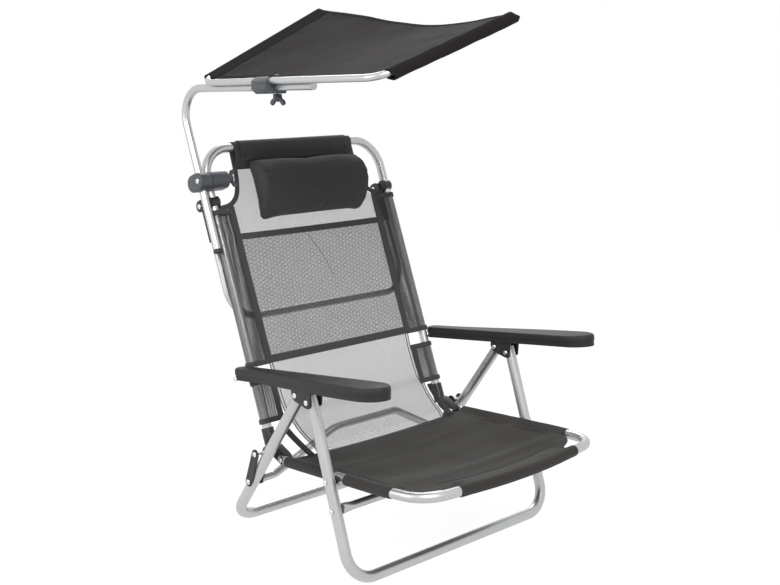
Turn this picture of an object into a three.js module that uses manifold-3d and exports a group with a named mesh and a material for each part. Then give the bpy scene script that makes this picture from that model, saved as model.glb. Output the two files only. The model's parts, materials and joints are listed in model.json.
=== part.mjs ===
// Low folding beach chair with a clamp-on sunshade.
// Millimetres, +Z up, the sitter faces -Y. "right" is the sitter's right, at -X.
import * as THREE from 'three';
import { mergeVertices } from 'three/addons/utils/BufferGeometryUtils.js';
import Module from 'manifold-3d';

const wasm = await Module();
wasm.setup();

// Shared fits
const seat_gap = 0.3;
const pin_gap = 0.35;
const cloth = 2;
const plate = 3;
const turn = Math.PI * 2;
const sides = { right: -1, left: 1 };

// Leg frames: centre lines in the side view are [y, z]
const leg_x = 275;
const leg_r = 11;
const leg_bend = 55;
const leg_top_over_pin = 12;
const front_foot = [202.8, leg_r];
const rear_foot = [565.7, leg_r];
const front_pin = [328, 326.8];
const rear_pin = [361.2, 332.3];
const link_pin = [499, 115.8];
const cross_bar_at = [253, 137.5];
const cross_bar_r = 8;
const tab_r = 10;

// Seat frame
const rail_x = 248;
const rail_r = 9.5;
const rail_slope = 0.1125;
const seat_hinge = [449.5, 168];
const seat_pivot_y = 273;
const rail_end_y = 434;
const rail_taper_y = 170;
const seat_corner = [238, 66];
const seat_nose_y = 34;
const seat_bend = 60;
const nose_bend = 900;
const taper_bend = 200;
const tongue_r = 8.5;
const tongue_t = 4;

// Backrest frame: s runs up its centre line, n points to the rear
const back_x = 238;
const back_r = 9.5;
const back_bend = 65;
const back_foot = [502, 200];
const back_lean = new THREE.Vector2(0.4115, 0.9114).normalize();
const back_low_s = -10;
const back_top_s = 592;
const arm_pin = [553, 313];
const knuckle_pin = [480, 179];
const knuckle_r = 13;
const knuckle_x = [229.5, 245.5];
const socket_r = 12.5;
const socket_s = [-6, 16];

// Armrests
const arm_slope = 0.178;
const arm_top = [157, 405];
const arm_inner_x = 252;
const arm_rear_x = 284;
const arm_front_x = 315;
const arm_rear_y = 558;
const arm_front_y = 170;
const arm_nose = 46;
const arm_depth = 24;
const arm_wall = 3;
const arm_edge = 3;
const cheek_r = 11;
const cheek_x = [[260.2, 263.2], [286.8, 289.8]];

// Prop bow behind the backrest
const bow_r = 8;
const bow_n = 24;
const bow_pivot_s = 480.5;
const bow_foot_s = 243;
const bow_bend = 60;
const bow_over = 6;
const socket_over = 8;
const bow_socket_r = 11;
const bow_socket_l = 75;
const lobe_r = 12;
const lobe_x = [221.5, 254.5];
const lobe_root_n = 16;
const grip_x = [226.5, 247];
const slot_x = [226.5, 249.5];
const slot_r = 16.5;

// Canopy post, its two clamps and the canopy
const post_x = -259;
const post_n = -8;
const post_r = 8;
const post_low_s = 384;
const post_bend = 55;
const post_corner_s = 718.7;
const boom_slope = 0.0893;
const boom_end_y = 365;
const clamp_s = 521.5;
const clamp_r = 17.5;
const clamp_n = [-18.5, -2.5];
const clamp_bolt_n = -23.5;
const clamp_split_x = -248.2;
const clamp_end_x = [-277, -207];
const boom_clamp_y = 487;
const boom_clamp_half = 21;
const rail_off = [-15.5, 10];
const shade_r = 6.3;
const shade_bend = 40;
const shade_rear_y = 690;
const shade_front_y = 176;
const degree = Math.PI / 180;
const shade_tilt = { [shade_rear_y]: 25.5 * degree, [shade_front_y]: 18.5 * degree };
const shade_l = 328;
const shade_start = 42;
const shade_sag = 10;
const shade_scoop = 40;

// Surface finishes: colour, roughness, metalness
const finishes = {
  satin_aluminium: [0xc9cbcc, 0.35, 1],
  bright_rivet: [0xd8d8d8, 0.25, 1],
  black_plastic: [0x222326, 0.5, 0],
  grey_plastic: [0x47494c, 0.6, 0],
  clamp_plastic: [0x44494f, 0.5, 0],
  sling_cloth: [0x4b4847, 0.9, 0],
  net_cloth: [0x8f9092, 0.9, 0],
};

const chair = new THREE.Group();
chair.name = 'sun_lounger';

function add(name, geometry, finish) {
  const [color, roughness, metalness] = finishes[finish];
  const material = new THREE.MeshStandardMaterial({ color, roughness, metalness });
  material.name = finish;
  geometry.computeVertexNormals();
  const mesh = new THREE.Mesh(geometry, material);
  mesh.name = name;
  chair.add(mesh);
  return mesh;
}

// Joining and cutting
function solid(geometry) {
  const bare = geometry.clone();
  bare.deleteAttribute('normal');
  bare.deleteAttribute('uv');
  const welded = mergeVertices(bare, 1e-3);
  const mesh = new wasm.Mesh({
    numProp: 3,
    vertProperties: new Float32Array(welded.attributes.position.array),
    triVerts: new Uint32Array(welded.index.array),
  });
  mesh.merge();
  return new wasm.Manifold(mesh);
}

function shell(body) {
  const mesh = body.getMesh();
  const geometry = new THREE.BufferGeometry();
  geometry.setAttribute('position', new THREE.BufferAttribute(new Float32Array(mesh.vertProperties), 3));
  geometry.setIndex(new THREE.BufferAttribute(new Uint32Array(mesh.triVerts), 1));
  return geometry.toNonIndexed();
}

// Weld a closed surface and turn its faces outward
function closed(geometry) {
  const bare = geometry.clone();
  bare.deleteAttribute('normal');
  bare.deleteAttribute('uv');
  const welded = mergeVertices(bare, 1e-4);
  if (solid(welded).volume() < 0) welded.index.array.reverse();
  return welded.toNonIndexed();
}

const join = (...parts) => shell(parts.map(solid).reduce((a, b) => a.add(b)));
const cut = (body, ...tools) => shell(tools.map(solid).reduce((a, b) => a.subtract(b), solid(body)));

// A route of straight runs with rounded corners, sampled only where it bends
class Route extends THREE.Curve {
  constructor(corners, radii, arc_steps = 6) {
    super();
    this.stops = [];
    const push = (point, heading) => this.stops.push({ point, heading: heading.clone().normalize() });
    const last = corners.length - 1;
    push(corners[0], corners[1].clone().sub(corners[0]));
    for (let i = 1; i < last; i += 1) {
      const before = corners[i].clone().sub(corners[i - 1]).normalize();
      const after = corners[i + 1].clone().sub(corners[i]).normalize();
      const angle = before.angleTo(after);
      const radius = radii[i - 1];
      const inward = after.clone().sub(before.clone().multiplyScalar(before.dot(after))).normalize();
      const start = corners[i].clone().addScaledVector(before, -radius * Math.tan(angle / 2));
      for (let k = 0; k <= arc_steps; k += 1) {
        const a = angle * k / arc_steps;
        const point = start.clone()
          .addScaledVector(before, radius * Math.sin(a))
          .addScaledVector(inward, radius * (1 - Math.cos(a)));
        const heading = before.clone().multiplyScalar(Math.cos(a)).addScaledVector(inward, Math.sin(a));
        push(point, heading);
      }
    }
    push(corners[last], corners[last].clone().sub(corners[last - 1]));
  }

  stop(u) {
    return this.stops[Math.round(u * (this.stops.length - 1))];
  }

  getPoint(u) { return this.stop(u).point.clone(); }

  getPointAt(u) { return this.getPoint(u); }

  getTangent(u) { return this.stop(u).heading.clone(); }

  getTangentAt(u) { return this.getTangent(u); }
}

function ring(radius, count = 14, centre = [0, 0]) {
  return Array.from({ length: count }, (_, k) => new THREE.Vector2(
    centre[0] + radius * Math.cos(turn * k / count),
    centre[1] + radius * Math.sin(turn * k / count),
  ));
}

function tube(route, radius, count = 14) {
  return new THREE.ExtrudeGeometry(new THREE.Shape(ring(radius, count)), {
    steps: route.stops.length - 1,
    bevelEnabled: false,
    extrudePath: route,
  });
}

const v3 = (x, [y, z]) => new THREE.Vector3(x, y, z);
const run = (...corners) => new Route(corners, []);

// A flat shape drawn in the side view, given a thickness from x0 to x1
const side_view = new THREE.Matrix4().makeBasis(
  new THREE.Vector3(0, 1, 0),
  new THREE.Vector3(0, 0, 1),
  new THREE.Vector3(1, 0, 0),
);

function slab(outline, x0, x1) {
  const points = outline.map((p) => (p.isVector2 ? p : new THREE.Vector2(p[0], p[1])));
  const geometry = new THREE.ExtrudeGeometry(new THREE.Shape(points), {
    depth: Math.abs(x1 - x0),
    bevelEnabled: false,
  });
  return geometry.applyMatrix4(side_view).translate(Math.min(x0, x1), 0, 0);
}

const bar_x = (at, radius, x0, x1, count = 12) => slab(ring(radius, count, at), x0, x1);

// Round-ended outline between two points
function capsule(a, b, radius, half_count = 6) {
  const angle = Math.atan2(b[1] - a[1], b[0] - a[0]);
  const points = [];
  [[b, angle - Math.PI / 2], [a, angle + Math.PI / 2]].forEach(([centre, from]) => {
    for (let k = 0; k <= half_count; k += 1) {
      const t = from + Math.PI * k / half_count;
      points.push([centre[0] + radius * Math.cos(t), centre[1] + radius * Math.sin(t)]);
    }
  });
  return points;
}

// Rivet along X with a domed head at each end it shows
const rivet_r = 3;
const head_r = 5.4;
const head_h = 2.6;
function rivet(name, at, x0, x1, heads = [true, true]) {
  const [low, high] = [Math.min(x0, x1), Math.max(x0, x1)];
  const profile = [[0, low]];
  if (heads[0]) {
    profile.push([head_r * 0.6, low], [head_r, low + head_h * 0.6], [head_r, low + head_h]);
    profile.push([rivet_r, low + head_h]);
  } else profile.push([rivet_r, low]);
  if (heads[1]) {
    profile.push([rivet_r, high - head_h], [head_r, high - head_h]);
    profile.push([head_r, high - head_h * 0.6], [head_r * 0.6, high]);
  } else profile.push([rivet_r, high]);
  profile.push([0, high]);
  const geometry = new THREE.LatheGeometry(profile.map(([r, x]) => new THREE.Vector2(r, x)), 8);
  geometry.rotateZ(-Math.PI / 2);
  const mesh = add(name, geometry, 'bright_rivet');
  mesh.position.set(0, at[0], at[1]);
  return mesh;
}

// Closed sheet: place(u, v, face) gives a point, face is -0.5 below and 0.5 above
function sheet(columns, rows, place) {
  const geometry = new THREE.BoxGeometry(1, 1, 1, columns, rows, 1);
  const position = geometry.attributes.position;
  for (let i = 0; i < position.count; i += 1) {
    const point = place(position.getX(i) + 0.5, position.getY(i) + 0.5, position.getZ(i));
    position.setXYZ(i, point.x, point.y, point.z);
  }
  return closed(geometry);
}

const unit = (a, b) => new THREE.Vector2(b[0] - a[0], b[1] - a[1]).normalize();
const along = (a, b, d) => {
  const u = unit(a, b);
  return [a[0] + u.x * d, a[1] + u.y * d];
};

// Front and rear leg frames
function leg_frame(foot, pin) {
  const top = along(pin, foot, -leg_top_over_pin);
  const corners = [v3(-leg_x, top), v3(-leg_x, foot), v3(leg_x, foot), v3(leg_x, top)];
  return tube(new Route(corners, [leg_bend, leg_bend]), leg_r, 16);
}
const hole = (at, x0, x1) => bar_x(at, rivet_r + pin_gap, x0, x1, 10);
const through = (at) => hole(at, -leg_x - 2 * leg_r, leg_x + 2 * leg_r);
const rail_z = (y) => seat_hinge[1] + (seat_hinge[0] - y) * rail_slope;
const seat_pivot = [seat_pivot_y, rail_z(seat_pivot_y)];

add('front_leg_frame', cut(
  leg_frame(front_foot, front_pin),
  through(front_pin),
  through(seat_pivot),
  through(cross_bar_at),
), 'satin_aluminium');
add('rear_leg_frame', cut(
  leg_frame(rear_foot, rear_pin),
  through(rear_pin),
  through(link_pin),
), 'satin_aluminium');

// Cross bar between the front legs, with a flattened tab at each end
const leg_in = leg_x - leg_r;
const leg_out = leg_x + leg_r;
const tab_out = leg_in - seat_gap;
const tab_in = tab_out - plate;
const end_tabs = (at) => Object.values(sides).map((s) => slab(ring(tab_r, 12, at), s * tab_in, s * tab_out));
add('front_cross_bar', cut(
  join(tube(run(v3(-tab_in - 1, cross_bar_at), v3(tab_in + 1, cross_bar_at)), cross_bar_r), ...end_tabs(cross_bar_at)),
  hole(cross_bar_at, -leg_x, -tab_in + rivet_r * 2),
  hole(cross_bar_at, tab_in - rivet_r * 2, leg_x),
), 'satin_aluminium');

// Seat frame: rails joined by a bowed nose bar, rear ends pressed flat
const rail_at = (x, y) => v3(x, [y, rail_z(y)]);
function seat_route(y_end = rail_end_y) {
  const half = [[rail_x, y_end], [rail_x, rail_taper_y], seat_corner];
  const corners = half.map(([x, y]) => rail_at(-x, y));
  corners.push(rail_at(0, seat_nose_y), ...half.reverse().map(([x, y]) => rail_at(x, y)));
  return new Route(corners, [taper_bend, seat_bend, nose_bend, seat_bend, taper_bend]);
}
const tongue_outline = capsule([rail_end_y - tongue_r, rail_z(rail_end_y - tongue_r)], seat_hinge, tongue_r);
const tongues = Object.values(sides).map((s) => slab(
  tongue_outline,
  s * (rail_x - tongue_t / 2),
  s * (rail_x + tongue_t / 2),
));
add('seat_frame', cut(
  join(tube(seat_route(), rail_r), ...tongues),
  through(seat_hinge),
  through(seat_pivot),
), 'satin_aluminium');

// Seat sling: rails and nose run in sewn sleeves, the cloth sags and creases across
const sleeve_in = rail_r + seat_gap;
const sleeve_out = rail_r + seat_gap + cloth;
const sling_rear_y = 430;
const sling_cut_y = 165;
const sling_lift = 5;
const sling_sag = 16;
const nose_y = (x) => seat_nose_y + Math.abs(x) * (seat_corner[1] - seat_nose_y) / seat_corner[0];
const nose_half = 158;
const crease = (x, y) => 1.6 * Math.sin(y / 23 + x / 130) + 1.1 * Math.sin(y / 11 - x / 70 + 2);
function sling_point(u, v, face) {
  const side = 2 * u - 1;
  const y_mid = THREE.MathUtils.lerp(sling_rear_y, seat_nose_y, v);
  const narrow = THREE.MathUtils.clamp((sling_cut_y - y_mid) / (sling_cut_y - seat_nose_y), 0, 1);
  const half = THREE.MathUtils.lerp(rail_x - rail_r / 2, nose_half, Math.pow(narrow, 0.6));
  const x = side * half;
  const y = THREE.MathUtils.lerp(sling_rear_y, nose_y(x), v);
  const edge = 1 - side * side;
  const ends = Math.sin(Math.PI * Math.min(v * 1.1, 1));
  const drop = sling_sag * edge * (0.45 + 0.55 * ends) + (v > 0.98 ? -sling_sag * edge * 0.45 : 0);
  const z = rail_z(y) + sling_lift * edge - drop + crease(x, y) * edge * ends;
  return new THREE.Vector3(x, y, z + face * cloth);
}
const sling_side = Object.values(sides).map((s) => tube(
  run(rail_at(s * rail_x, sling_rear_y), rail_at(s * rail_x, rail_taper_y + 12)),
  sleeve_out,
));
const nose_corner = new THREE.Vector3(nose_half, nose_y(nose_half), rail_z(nose_y(nose_half)));
const sling_nose = tube(new Route([
  nose_corner.clone().multiply(new THREE.Vector3(-1, 1, 1)),
  rail_at(0, seat_nose_y),
  nose_corner,
], [nose_bend]), sleeve_out);
add('seat_sling', cut(
  join(sheet(12, 16, sling_point), ...sling_side, sling_nose),
  tube(seat_route(rail_end_y + 2), sleeve_in),
  bar_x(seat_pivot, rail_r + cloth, -leg_in, -rail_x + rail_r + cloth * 2),
  bar_x(seat_pivot, rail_r + cloth, rail_x - rail_r - cloth * 2, leg_in),
), 'sling_cloth');

// Net strip that turns up from the sling to the backrest
const strip_top = [466, 200];
add('crease_strip', sheet(10, 3, (u, v, face) => {
  const low = sling_point(u * 0.8 + 0.1, 0, 0);
  const y = THREE.MathUtils.lerp(sling_rear_y + 1.2, strip_top[0], v);
  const z = THREE.MathUtils.lerp(low.z, strip_top[1], Math.pow(v, 1.3));
  return new THREE.Vector3(low.x, y - face * cloth * 0.5, z + face * cloth);
}), 'net_cloth');

// Backrest frame
const lean = (s, n = 0) => [
  back_foot[0] + back_lean.x * s + back_lean.y * n,
  back_foot[1] + back_lean.y * s - back_lean.x * n,
];
const back_route = new Route(
  [[-back_x, back_low_s], [-back_x, back_top_s], [back_x, back_top_s], [back_x, back_low_s]]
    .map(([x, s]) => v3(x, lean(s))),
  [back_bend, back_bend],
);
add('backrest_frame', tube(back_route, back_r, 14), 'satin_aluminium');

// Net of the backrest: side sleeves, a loop over the top bar, cut-away top corners
const z_to_s = (z) => (z - back_foot[1]) / back_lean.y;
const net_rows = [
  [217, 210], [226, 232], [260, 232], [300, 232], [340, 232], [380, 232], [420, 232], [460, 232], [500, 232],
  [540, 232], [580, 232], [612, 232], [623, 231], [627, 207], [639, 178], [668, 164], [700, 162], [736, 160],
];
const net_sag = 9;
function net_belly(s, side) {
  return net_sag * (1 - side * side) * Math.sin(Math.PI * Math.min(Math.max(s / back_top_s, 0), 1));
}
function net_point(u, v, face) {
  const [z, half] = net_rows[Math.round(v * (net_rows.length - 1))];
  const side = 2 * u - 1;
  const s = z_to_s(z);
  return v3(side * half, lean(s, net_belly(s, side) + face * cloth));
}
const back_sleeve_in = back_r + seat_gap;
const back_sleeve_out = back_r + seat_gap + cloth;
const net_sides = Object.values(sides).flatMap((s) => [[222, 300], [326, 623]].map(([low, high]) => tube(
  run(v3(s * back_x, lean(z_to_s(low))), v3(s * back_x, lean(z_to_s(high)))),
  back_sleeve_out,
)));
const net_top = tube(run(v3(-160, lean(back_top_s)), v3(160, lean(back_top_s))), back_sleeve_out);
add('backrest_net', cut(
  join(sheet(10, net_rows.length - 1, net_point), ...net_sides, net_top),
  tube(back_route, back_sleeve_in),
), 'net_cloth');

// Head pillow with the flap that hangs it over the top bar
const pillow_s = 495;
const pillow_half = [150, 33, 58];
const pillow = new THREE.CylinderGeometry(1, 1, 2, 20, 14);
const pillow_position = pillow.attributes.position;
for (let i = 0; i < pillow_position.count; i += 1) {
  const [a, t, b] = [pillow_position.getX(i), pillow_position.getY(i), pillow_position.getZ(i)];
  const close = Math.pow(Math.max(1 - Math.pow(Math.abs(t), 5), 0), 0.5);
  const fill = 0.55 + 0.45 * close;
  const wave = 1 + 0.03 * Math.sin(t * 9) * (1 - Math.abs(t));
  const along_s = pillow_s + b * pillow_half[2] * fill;
  const rest_n = net_belly(along_s, t * pillow_half[0] / back_x) - cloth - seat_gap;
  const n = Math.min(-pillow_half[1] + a * pillow_half[1] * fill * wave, rest_n);
  const point = v3(t * pillow_half[0], lean(along_s, n));
  pillow_position.setXYZ(i, point.x, point.y, point.z);
}
add('head_pillow', closed(pillow), 'sling_cloth');
const flap_in = back_sleeve_out + seat_gap;
const flap_out = flap_in + cloth;
const flap_half = 128;
const flap_low_s = [549, 566];
const flap_arc = (radius, from, to) => Array.from({ length: 9 }, (_, k) => {
  const a = from + (to - from) * k / 8;
  return lean(back_top_s + radius * Math.sin(a), -radius * Math.cos(a));
});
add('pillow_flap', slab([
  lean(flap_low_s[0], -flap_out),
  ...flap_arc(flap_out, 0, Math.PI),
  lean(flap_low_s[1], flap_out),
  lean(flap_low_s[1], flap_in),
  ...flap_arc(flap_in, Math.PI, 0),
  lean(flap_low_s[0], -flap_in),
].reverse(), -flap_half, flap_half), 'sling_cloth');

// Parts that come as a right and left pair
Object.entries(sides).forEach(([hand, s]) => {
  // Armrest: hollow shell, open below
  const outline = (inset) => {
    const arc = (cx, cy, rx, ry, from) => Array.from({ length: 9 }, (_, k) => {
      const a = from + Math.PI * k / 8;
      return [cx + (rx - inset) * Math.cos(a), cy + (ry - inset) * Math.sin(a)];
    });
    const rear_half = (arm_rear_x - arm_inner_x) / 2;
    const front_half = (arm_front_x - arm_inner_x) / 2;
    const outer = Array.from({ length: 5 }, (_, k) => {
      const t = (k + 1) / 6;
      const width = THREE.MathUtils.lerp(arm_front_x, arm_rear_x, t * t * (3 - 2 * t));
      return [width - inset, THREE.MathUtils.lerp(arm_front_y, arm_rear_y, t)];
    });
    return [
      ...arc(arm_inner_x + front_half, arm_front_y, front_half, arm_nose, Math.PI),
      ...outer,
      ...arc(arm_inner_x + rear_half, arm_rear_y, rear_half, rear_half, 0),
    ].map(([x, y]) => new THREE.Vector2(x, y));
  };
  const block = (inset, height, edge) => new THREE.ExtrudeGeometry(new THREE.Shape(outline(inset + edge)), {
    depth: height - edge,
    bevelEnabled: edge > 0,
    bevelSize: edge,
    bevelThickness: edge,
    bevelSegments: 2,
  });
  const rounded = block(0, arm_depth, arm_edge);
  const base = new THREE.BoxGeometry(arm_front_x, 2 * arm_rear_y, arm_depth)
      .translate(arm_front_x, arm_rear_y / 2, -arm_depth / 2);
  const hollow = block(arm_wall, arm_depth - arm_wall, 0);
  const shelled = cut(rounded, base, hollow.translate(0, 0, -0.01));
  const tilt = new THREE.Matrix4().makeRotationX(-Math.atan(arm_slope));
  const place = new THREE.Matrix4().makeTranslation(0, arm_top[0], arm_top[1])
    .multiply(tilt)
    .multiply(new THREE.Matrix4().makeTranslation(0, -arm_top[0], -arm_depth));
  shelled.applyMatrix4(place);
  const flip = (geometry) => {
    if (s > 0) return geometry;
    return shell(solid(geometry).mirror([1, 0, 0]));
  };
  add(`armrest_${hand}`, flip(cut(shelled, hole(arm_pin, arm_inner_x - 9, arm_rear_x + 9))), 'grey_plastic');

  // Bracket under the armrest: two cheeks and a web that meets the shell's ceiling
  const ceiling = (y) => arm_top[1] - (arm_wall + 0.2) * Math.hypot(1, arm_slope) - (y - arm_top[0]) * arm_slope;
  const web_y = [front_pin[0] - cheek_r, rear_pin[0] + cheek_r];
  const cheek = (x0, x1) => slab([
    ...capsule(front_pin, rear_pin, cheek_r).slice(7, 12),
    [front_pin[0] + 2, front_pin[1] - cheek_r],
    [rear_pin[0] + 2, rear_pin[1] - cheek_r],
    [web_y[1], rear_pin[1]],
    [web_y[1], ceiling(web_y[1])],
    [web_y[0], ceiling(web_y[0])],
    [web_y[0], front_pin[1] + 1],
  ].slice(5).concat([[web_y[0], front_pin[1] - cheek_r / 2], [front_pin[0] - 5, front_pin[1] - cheek_r]]), x0, x1);
  const web = slab([
    [web_y[0], ceiling(web_y[0]) - 5],
    [web_y[1], ceiling(web_y[1]) - 5],
    [web_y[1], ceiling(web_y[1])],
    [web_y[0], ceiling(web_y[0])],
  ], cheek_x[0][0], cheek_x[1][1]);
  add(`arm_bracket_${hand}`, flip(cut(
    join(cheek(...cheek_x[0]), cheek(...cheek_x[1]), web),
    through(front_pin),
    through(rear_pin),
  )), 'black_plastic');
  const pin_ends = [s * (cheek_x[0][0] - head_h - 0.2), s * (cheek_x[1][1] + head_h + 0.2)];
  rivet(`front_leg_rivet_${hand}`, front_pin, ...pin_ends);
  rivet(`rear_leg_rivet_${hand}`, rear_pin, ...pin_ends);
  const arm_rivet_heads = s > 0 ? [false, true] : [true, false];
  rivet(
    `arm_pivot_rivet_${hand}`,
    arm_pin,
    s * (back_x + back_r + seat_gap),
    s * (arm_rear_x + head_h + 0.6),
    arm_rivet_heads,
  );
  rivet(`cross_bar_rivet_${hand}`, cross_bar_at, s * (leg_out + head_h + 0.2), s * (tab_in + 0.2), arm_rivet_heads);

  // Seat pivot: plastic spacer and the rivet through leg, spacer and rail
  const spacer = cut(
    bar_x(seat_pivot, 8, s * (rail_x + rail_r + seat_gap), s * (leg_in - seat_gap), 14),
    through(seat_pivot),
  );
  add(`seat_spacer_${hand}`, spacer, 'black_plastic');
  rivet(
    `seat_pivot_rivet_${hand}`,
    seat_pivot,
    s * (rail_x - rail_r - head_h - 0.2),
    s * (leg_out + head_h + 0.2),
  );

  // Knuckle on the foot of the backrest, riveted to the seat rail's flat end
  const knuckle = join(
    slab(capsule(seat_hinge, knuckle_pin, knuckle_r), s * knuckle_x[0], s * knuckle_x[1]),
    tube(run(v3(s * back_x, lean(socket_s[0] - 20)), v3(s * back_x, lean(socket_s[1]))), socket_r),
  );
  add(`back_knuckle_${hand}`, cut(
    knuckle,
    tube(run(v3(s * back_x, lean(back_low_s - seat_gap)), v3(s * back_x, lean(50))), back_sleeve_in),
    through(seat_hinge),
    bar_x(seat_hinge, tongue_r + 2, s * knuckle_x[1], s * (rail_x + rail_r)),
  ), 'black_plastic');
  rivet(
    `seat_hinge_rivet_${hand}`,
    seat_hinge,
    s * (knuckle_x[0] - head_h - 0.2),
    s * (rail_x + tongue_t / 2 + head_h + 0.2),
  );

  // Link plates either side of the rear leg
  const link_outline = capsule(link_pin, knuckle_pin, tab_r);
  const plates = { outer: [leg_out + 0.8, leg_out + 0.8 + plate], inner: [leg_in - 0.5 - plate, leg_in - 0.5] };
  Object.entries(plates).forEach(([which, [x0, x1]]) => {
    add(`link_${which}_${hand}`, cut(
      slab(link_outline, s * x0, s * x1),
      through(link_pin),
      through(knuckle_pin),
    ), 'black_plastic');
  });
  rivet(
    `link_top_rivet_${hand}`,
    knuckle_pin,
    s * (knuckle_x[1] + seat_gap + 5.2),
    s * (plates.outer[1] + head_h + 0.2),
    arm_rivet_heads,
  );
  rivet(
    `link_low_rivet_${hand}`,
    link_pin,
    s * (plates.inner[0] - 0.3 - plate - head_h - 0.2),
    s * (plates.outer[1] + head_h + 0.2),
  );

  // Bow hinge: bracket clamped round the backrest tube, socket over the bow's end
  const pivot = lean(bow_pivot_s, bow_n);
  const frame_at = lean(bow_pivot_s);
  const root = lean(bow_pivot_s, lobe_root_n);
  const bracket = join(
    bar_x(frame_at, back_r + 3.4, s * grip_x[0], s * grip_x[1], 18),
    slab(capsule(root, pivot, lobe_r), s * lobe_x[0], s * lobe_x[1]),
  );
  const slot = bar_x(pivot, slot_r, s * slot_x[0], s * slot_x[1], 20);
  const grip = tube(run(v3(s * back_x, lean(bow_pivot_s - 40)), v3(s * back_x, lean(bow_pivot_s + 40))), back_sleeve_in);
  add(`bow_bracket_${hand}`, cut(bracket, slot, grip, through(pivot)), 'black_plastic');
  const socket_top = v3(s * back_x, lean(bow_pivot_s + socket_over, bow_n));
  const socket_end = v3(s * back_x, lean(bow_pivot_s - bow_socket_l, bow_n));
  const socket_cut = tube(
    run(v3(s * back_x, lean(bow_pivot_s + bow_over + seat_gap, bow_n)), v3(s * back_x, lean(bow_foot_s, bow_n))),
    bow_r + seat_gap,
  );
  add(`bow_socket_${hand}`, cut(
    tube(run(socket_top, socket_end), bow_socket_r, 16),
    socket_cut,
    through(pivot),
  ), 'black_plastic');
  rivet(
    `bow_rivet_${hand}`,
    pivot,
    s * (lobe_x[0] - head_h - 0.2),
    s * (lobe_x[1] + head_h + 0.2),
  );
});

// Bar that ties the two link pairs and holds up the fold of the net
const tie_out = leg_in - 0.5 - plate - 0.3;
const tie_in = tie_out - plate;
const tie_low_x = 226;
const tie_low = [497, 117.5];
const tie_high_x = 84;
const tie_high = [478, 193];
const tie_bends = [24, 50];
const tie_half = [v3(tie_in + 1, link_pin), v3(tie_low_x, tie_low), v3(tie_high_x, tie_high)];
const tie_route = new Route([
  ...tie_half.map((p) => p.clone().setX(-p.x)),
  ...tie_half.slice().reverse(),
], [...tie_bends, ...tie_bends.slice().reverse()]);
const tie_tabs = Object.values(sides).map((s) => slab(ring(tab_r, 12, link_pin), s * tie_in, s * tie_out));
add('link_tie_bar', cut(
  join(tube(tie_route, cross_bar_r), ...tie_tabs),
  bar_x(link_pin, head_r + 0.5, -tie_in, -tie_in + head_h + 1.5),
  bar_x(link_pin, head_r + 0.5, tie_in, tie_in - head_h - 1.5),
  through(link_pin),
), 'satin_aluminium');

// Prop bow
const bow_route = new Route(
  [[-1, bow_pivot_s + bow_over], [-1, bow_foot_s], [1, bow_foot_s], [1, bow_pivot_s + bow_over]]
    .map(([s, t]) => v3(s * back_x, lean(t, bow_n))),
  [bow_bend, bow_bend],
);
add('prop_bow', cut(tube(bow_route, bow_r), through(lean(bow_pivot_s, bow_n))), 'satin_aluminium');

// Canopy post, bent over into a level boom
const post_corner = lean(post_corner_s, post_n);
const boom_z = (y) => post_corner[1] + (post_corner[0] - y) * boom_slope;
const boom = (y, x = 0, m = 0) => new THREE.Vector3(post_x + x, y + m * boom_slope, boom_z(y) + m);
add('canopy_post', tube(new Route([
  v3(post_x, lean(post_low_s, post_n)),
  v3(post_x, post_corner),
  boom(boom_end_y),
], [post_bend], 9), post_r, 14), 'satin_aluminium');
add('post_plug', tube(run(
  v3(post_x, lean(post_low_s - 9, post_n)),
  v3(post_x, lean(post_low_s - seat_gap, post_n)),
), post_r + 0.4, 14), 'black_plastic');

// Lower clamp: one half grips the backrest, the other the post
function clamp_block(x0, x1) {
  return slab(capsule(...clamp_n.map((n) => lean(clamp_s, n)), clamp_r, 10), x0, x1);
}
const clamp_bolt_at = lean(clamp_s, clamp_bolt_n);
add('clamp_inner', cut(
  clamp_block(clamp_split_x + seat_gap, clamp_end_x[1]),
  tube(back_route, back_sleeve_in),
  hole(clamp_bolt_at, -300, -100),
), 'clamp_plastic');
add('clamp_outer', cut(
  clamp_block(clamp_end_x[0], clamp_split_x),
  tube(run(v3(post_x, lean(clamp_s - 40, post_n)), v3(post_x, lean(clamp_s + 40, post_n))), post_r + seat_gap),
  hole(clamp_bolt_at, -300, -100),
), 'clamp_plastic');
rivet('clamp_bolt', clamp_bolt_at, clamp_end_x[0] - head_h - 0.2, clamp_end_x[1] + 14, [true, false]);

// Winged knob on a bolt: hub along X, wings in the side view
function wings(reach, height, thick) {
  const arm = (s) => [
    [s * 3, -thick], [s * reach, height - thick * 2], [s * (reach + 1.5), height], [s * (reach - 3), height + thick],
    [s * 2, thick],
  ];
  const points = [...arm(1), ...arm(-1).reverse()];
  return points.map(([a, b]) => new THREE.Vector2(a, b));
}
const knob_x = clamp_end_x[1] + seat_gap;
const knob_wing = new THREE.ExtrudeGeometry(new THREE.Shape(wings(17, 11, 3)), { depth: 5, bevelEnabled: false })
  .translate(0, 0, -2.5);
const knob_frame = new THREE.Matrix4().makeBasis(
  new THREE.Vector3(0, back_lean.x, back_lean.y),
  new THREE.Vector3(1, 0, 0),
  new THREE.Vector3(0, back_lean.y, -back_lean.x),
);
knob_wing.applyMatrix4(knob_frame).translate(knob_x + 8, ...clamp_bolt_at);
add('clamp_knob', cut(
  join(bar_x(clamp_bolt_at, 8, knob_x, knob_x + 12, 14), knob_wing),
  hole(clamp_bolt_at, -300, -100),
), 'black_plastic');

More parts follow.
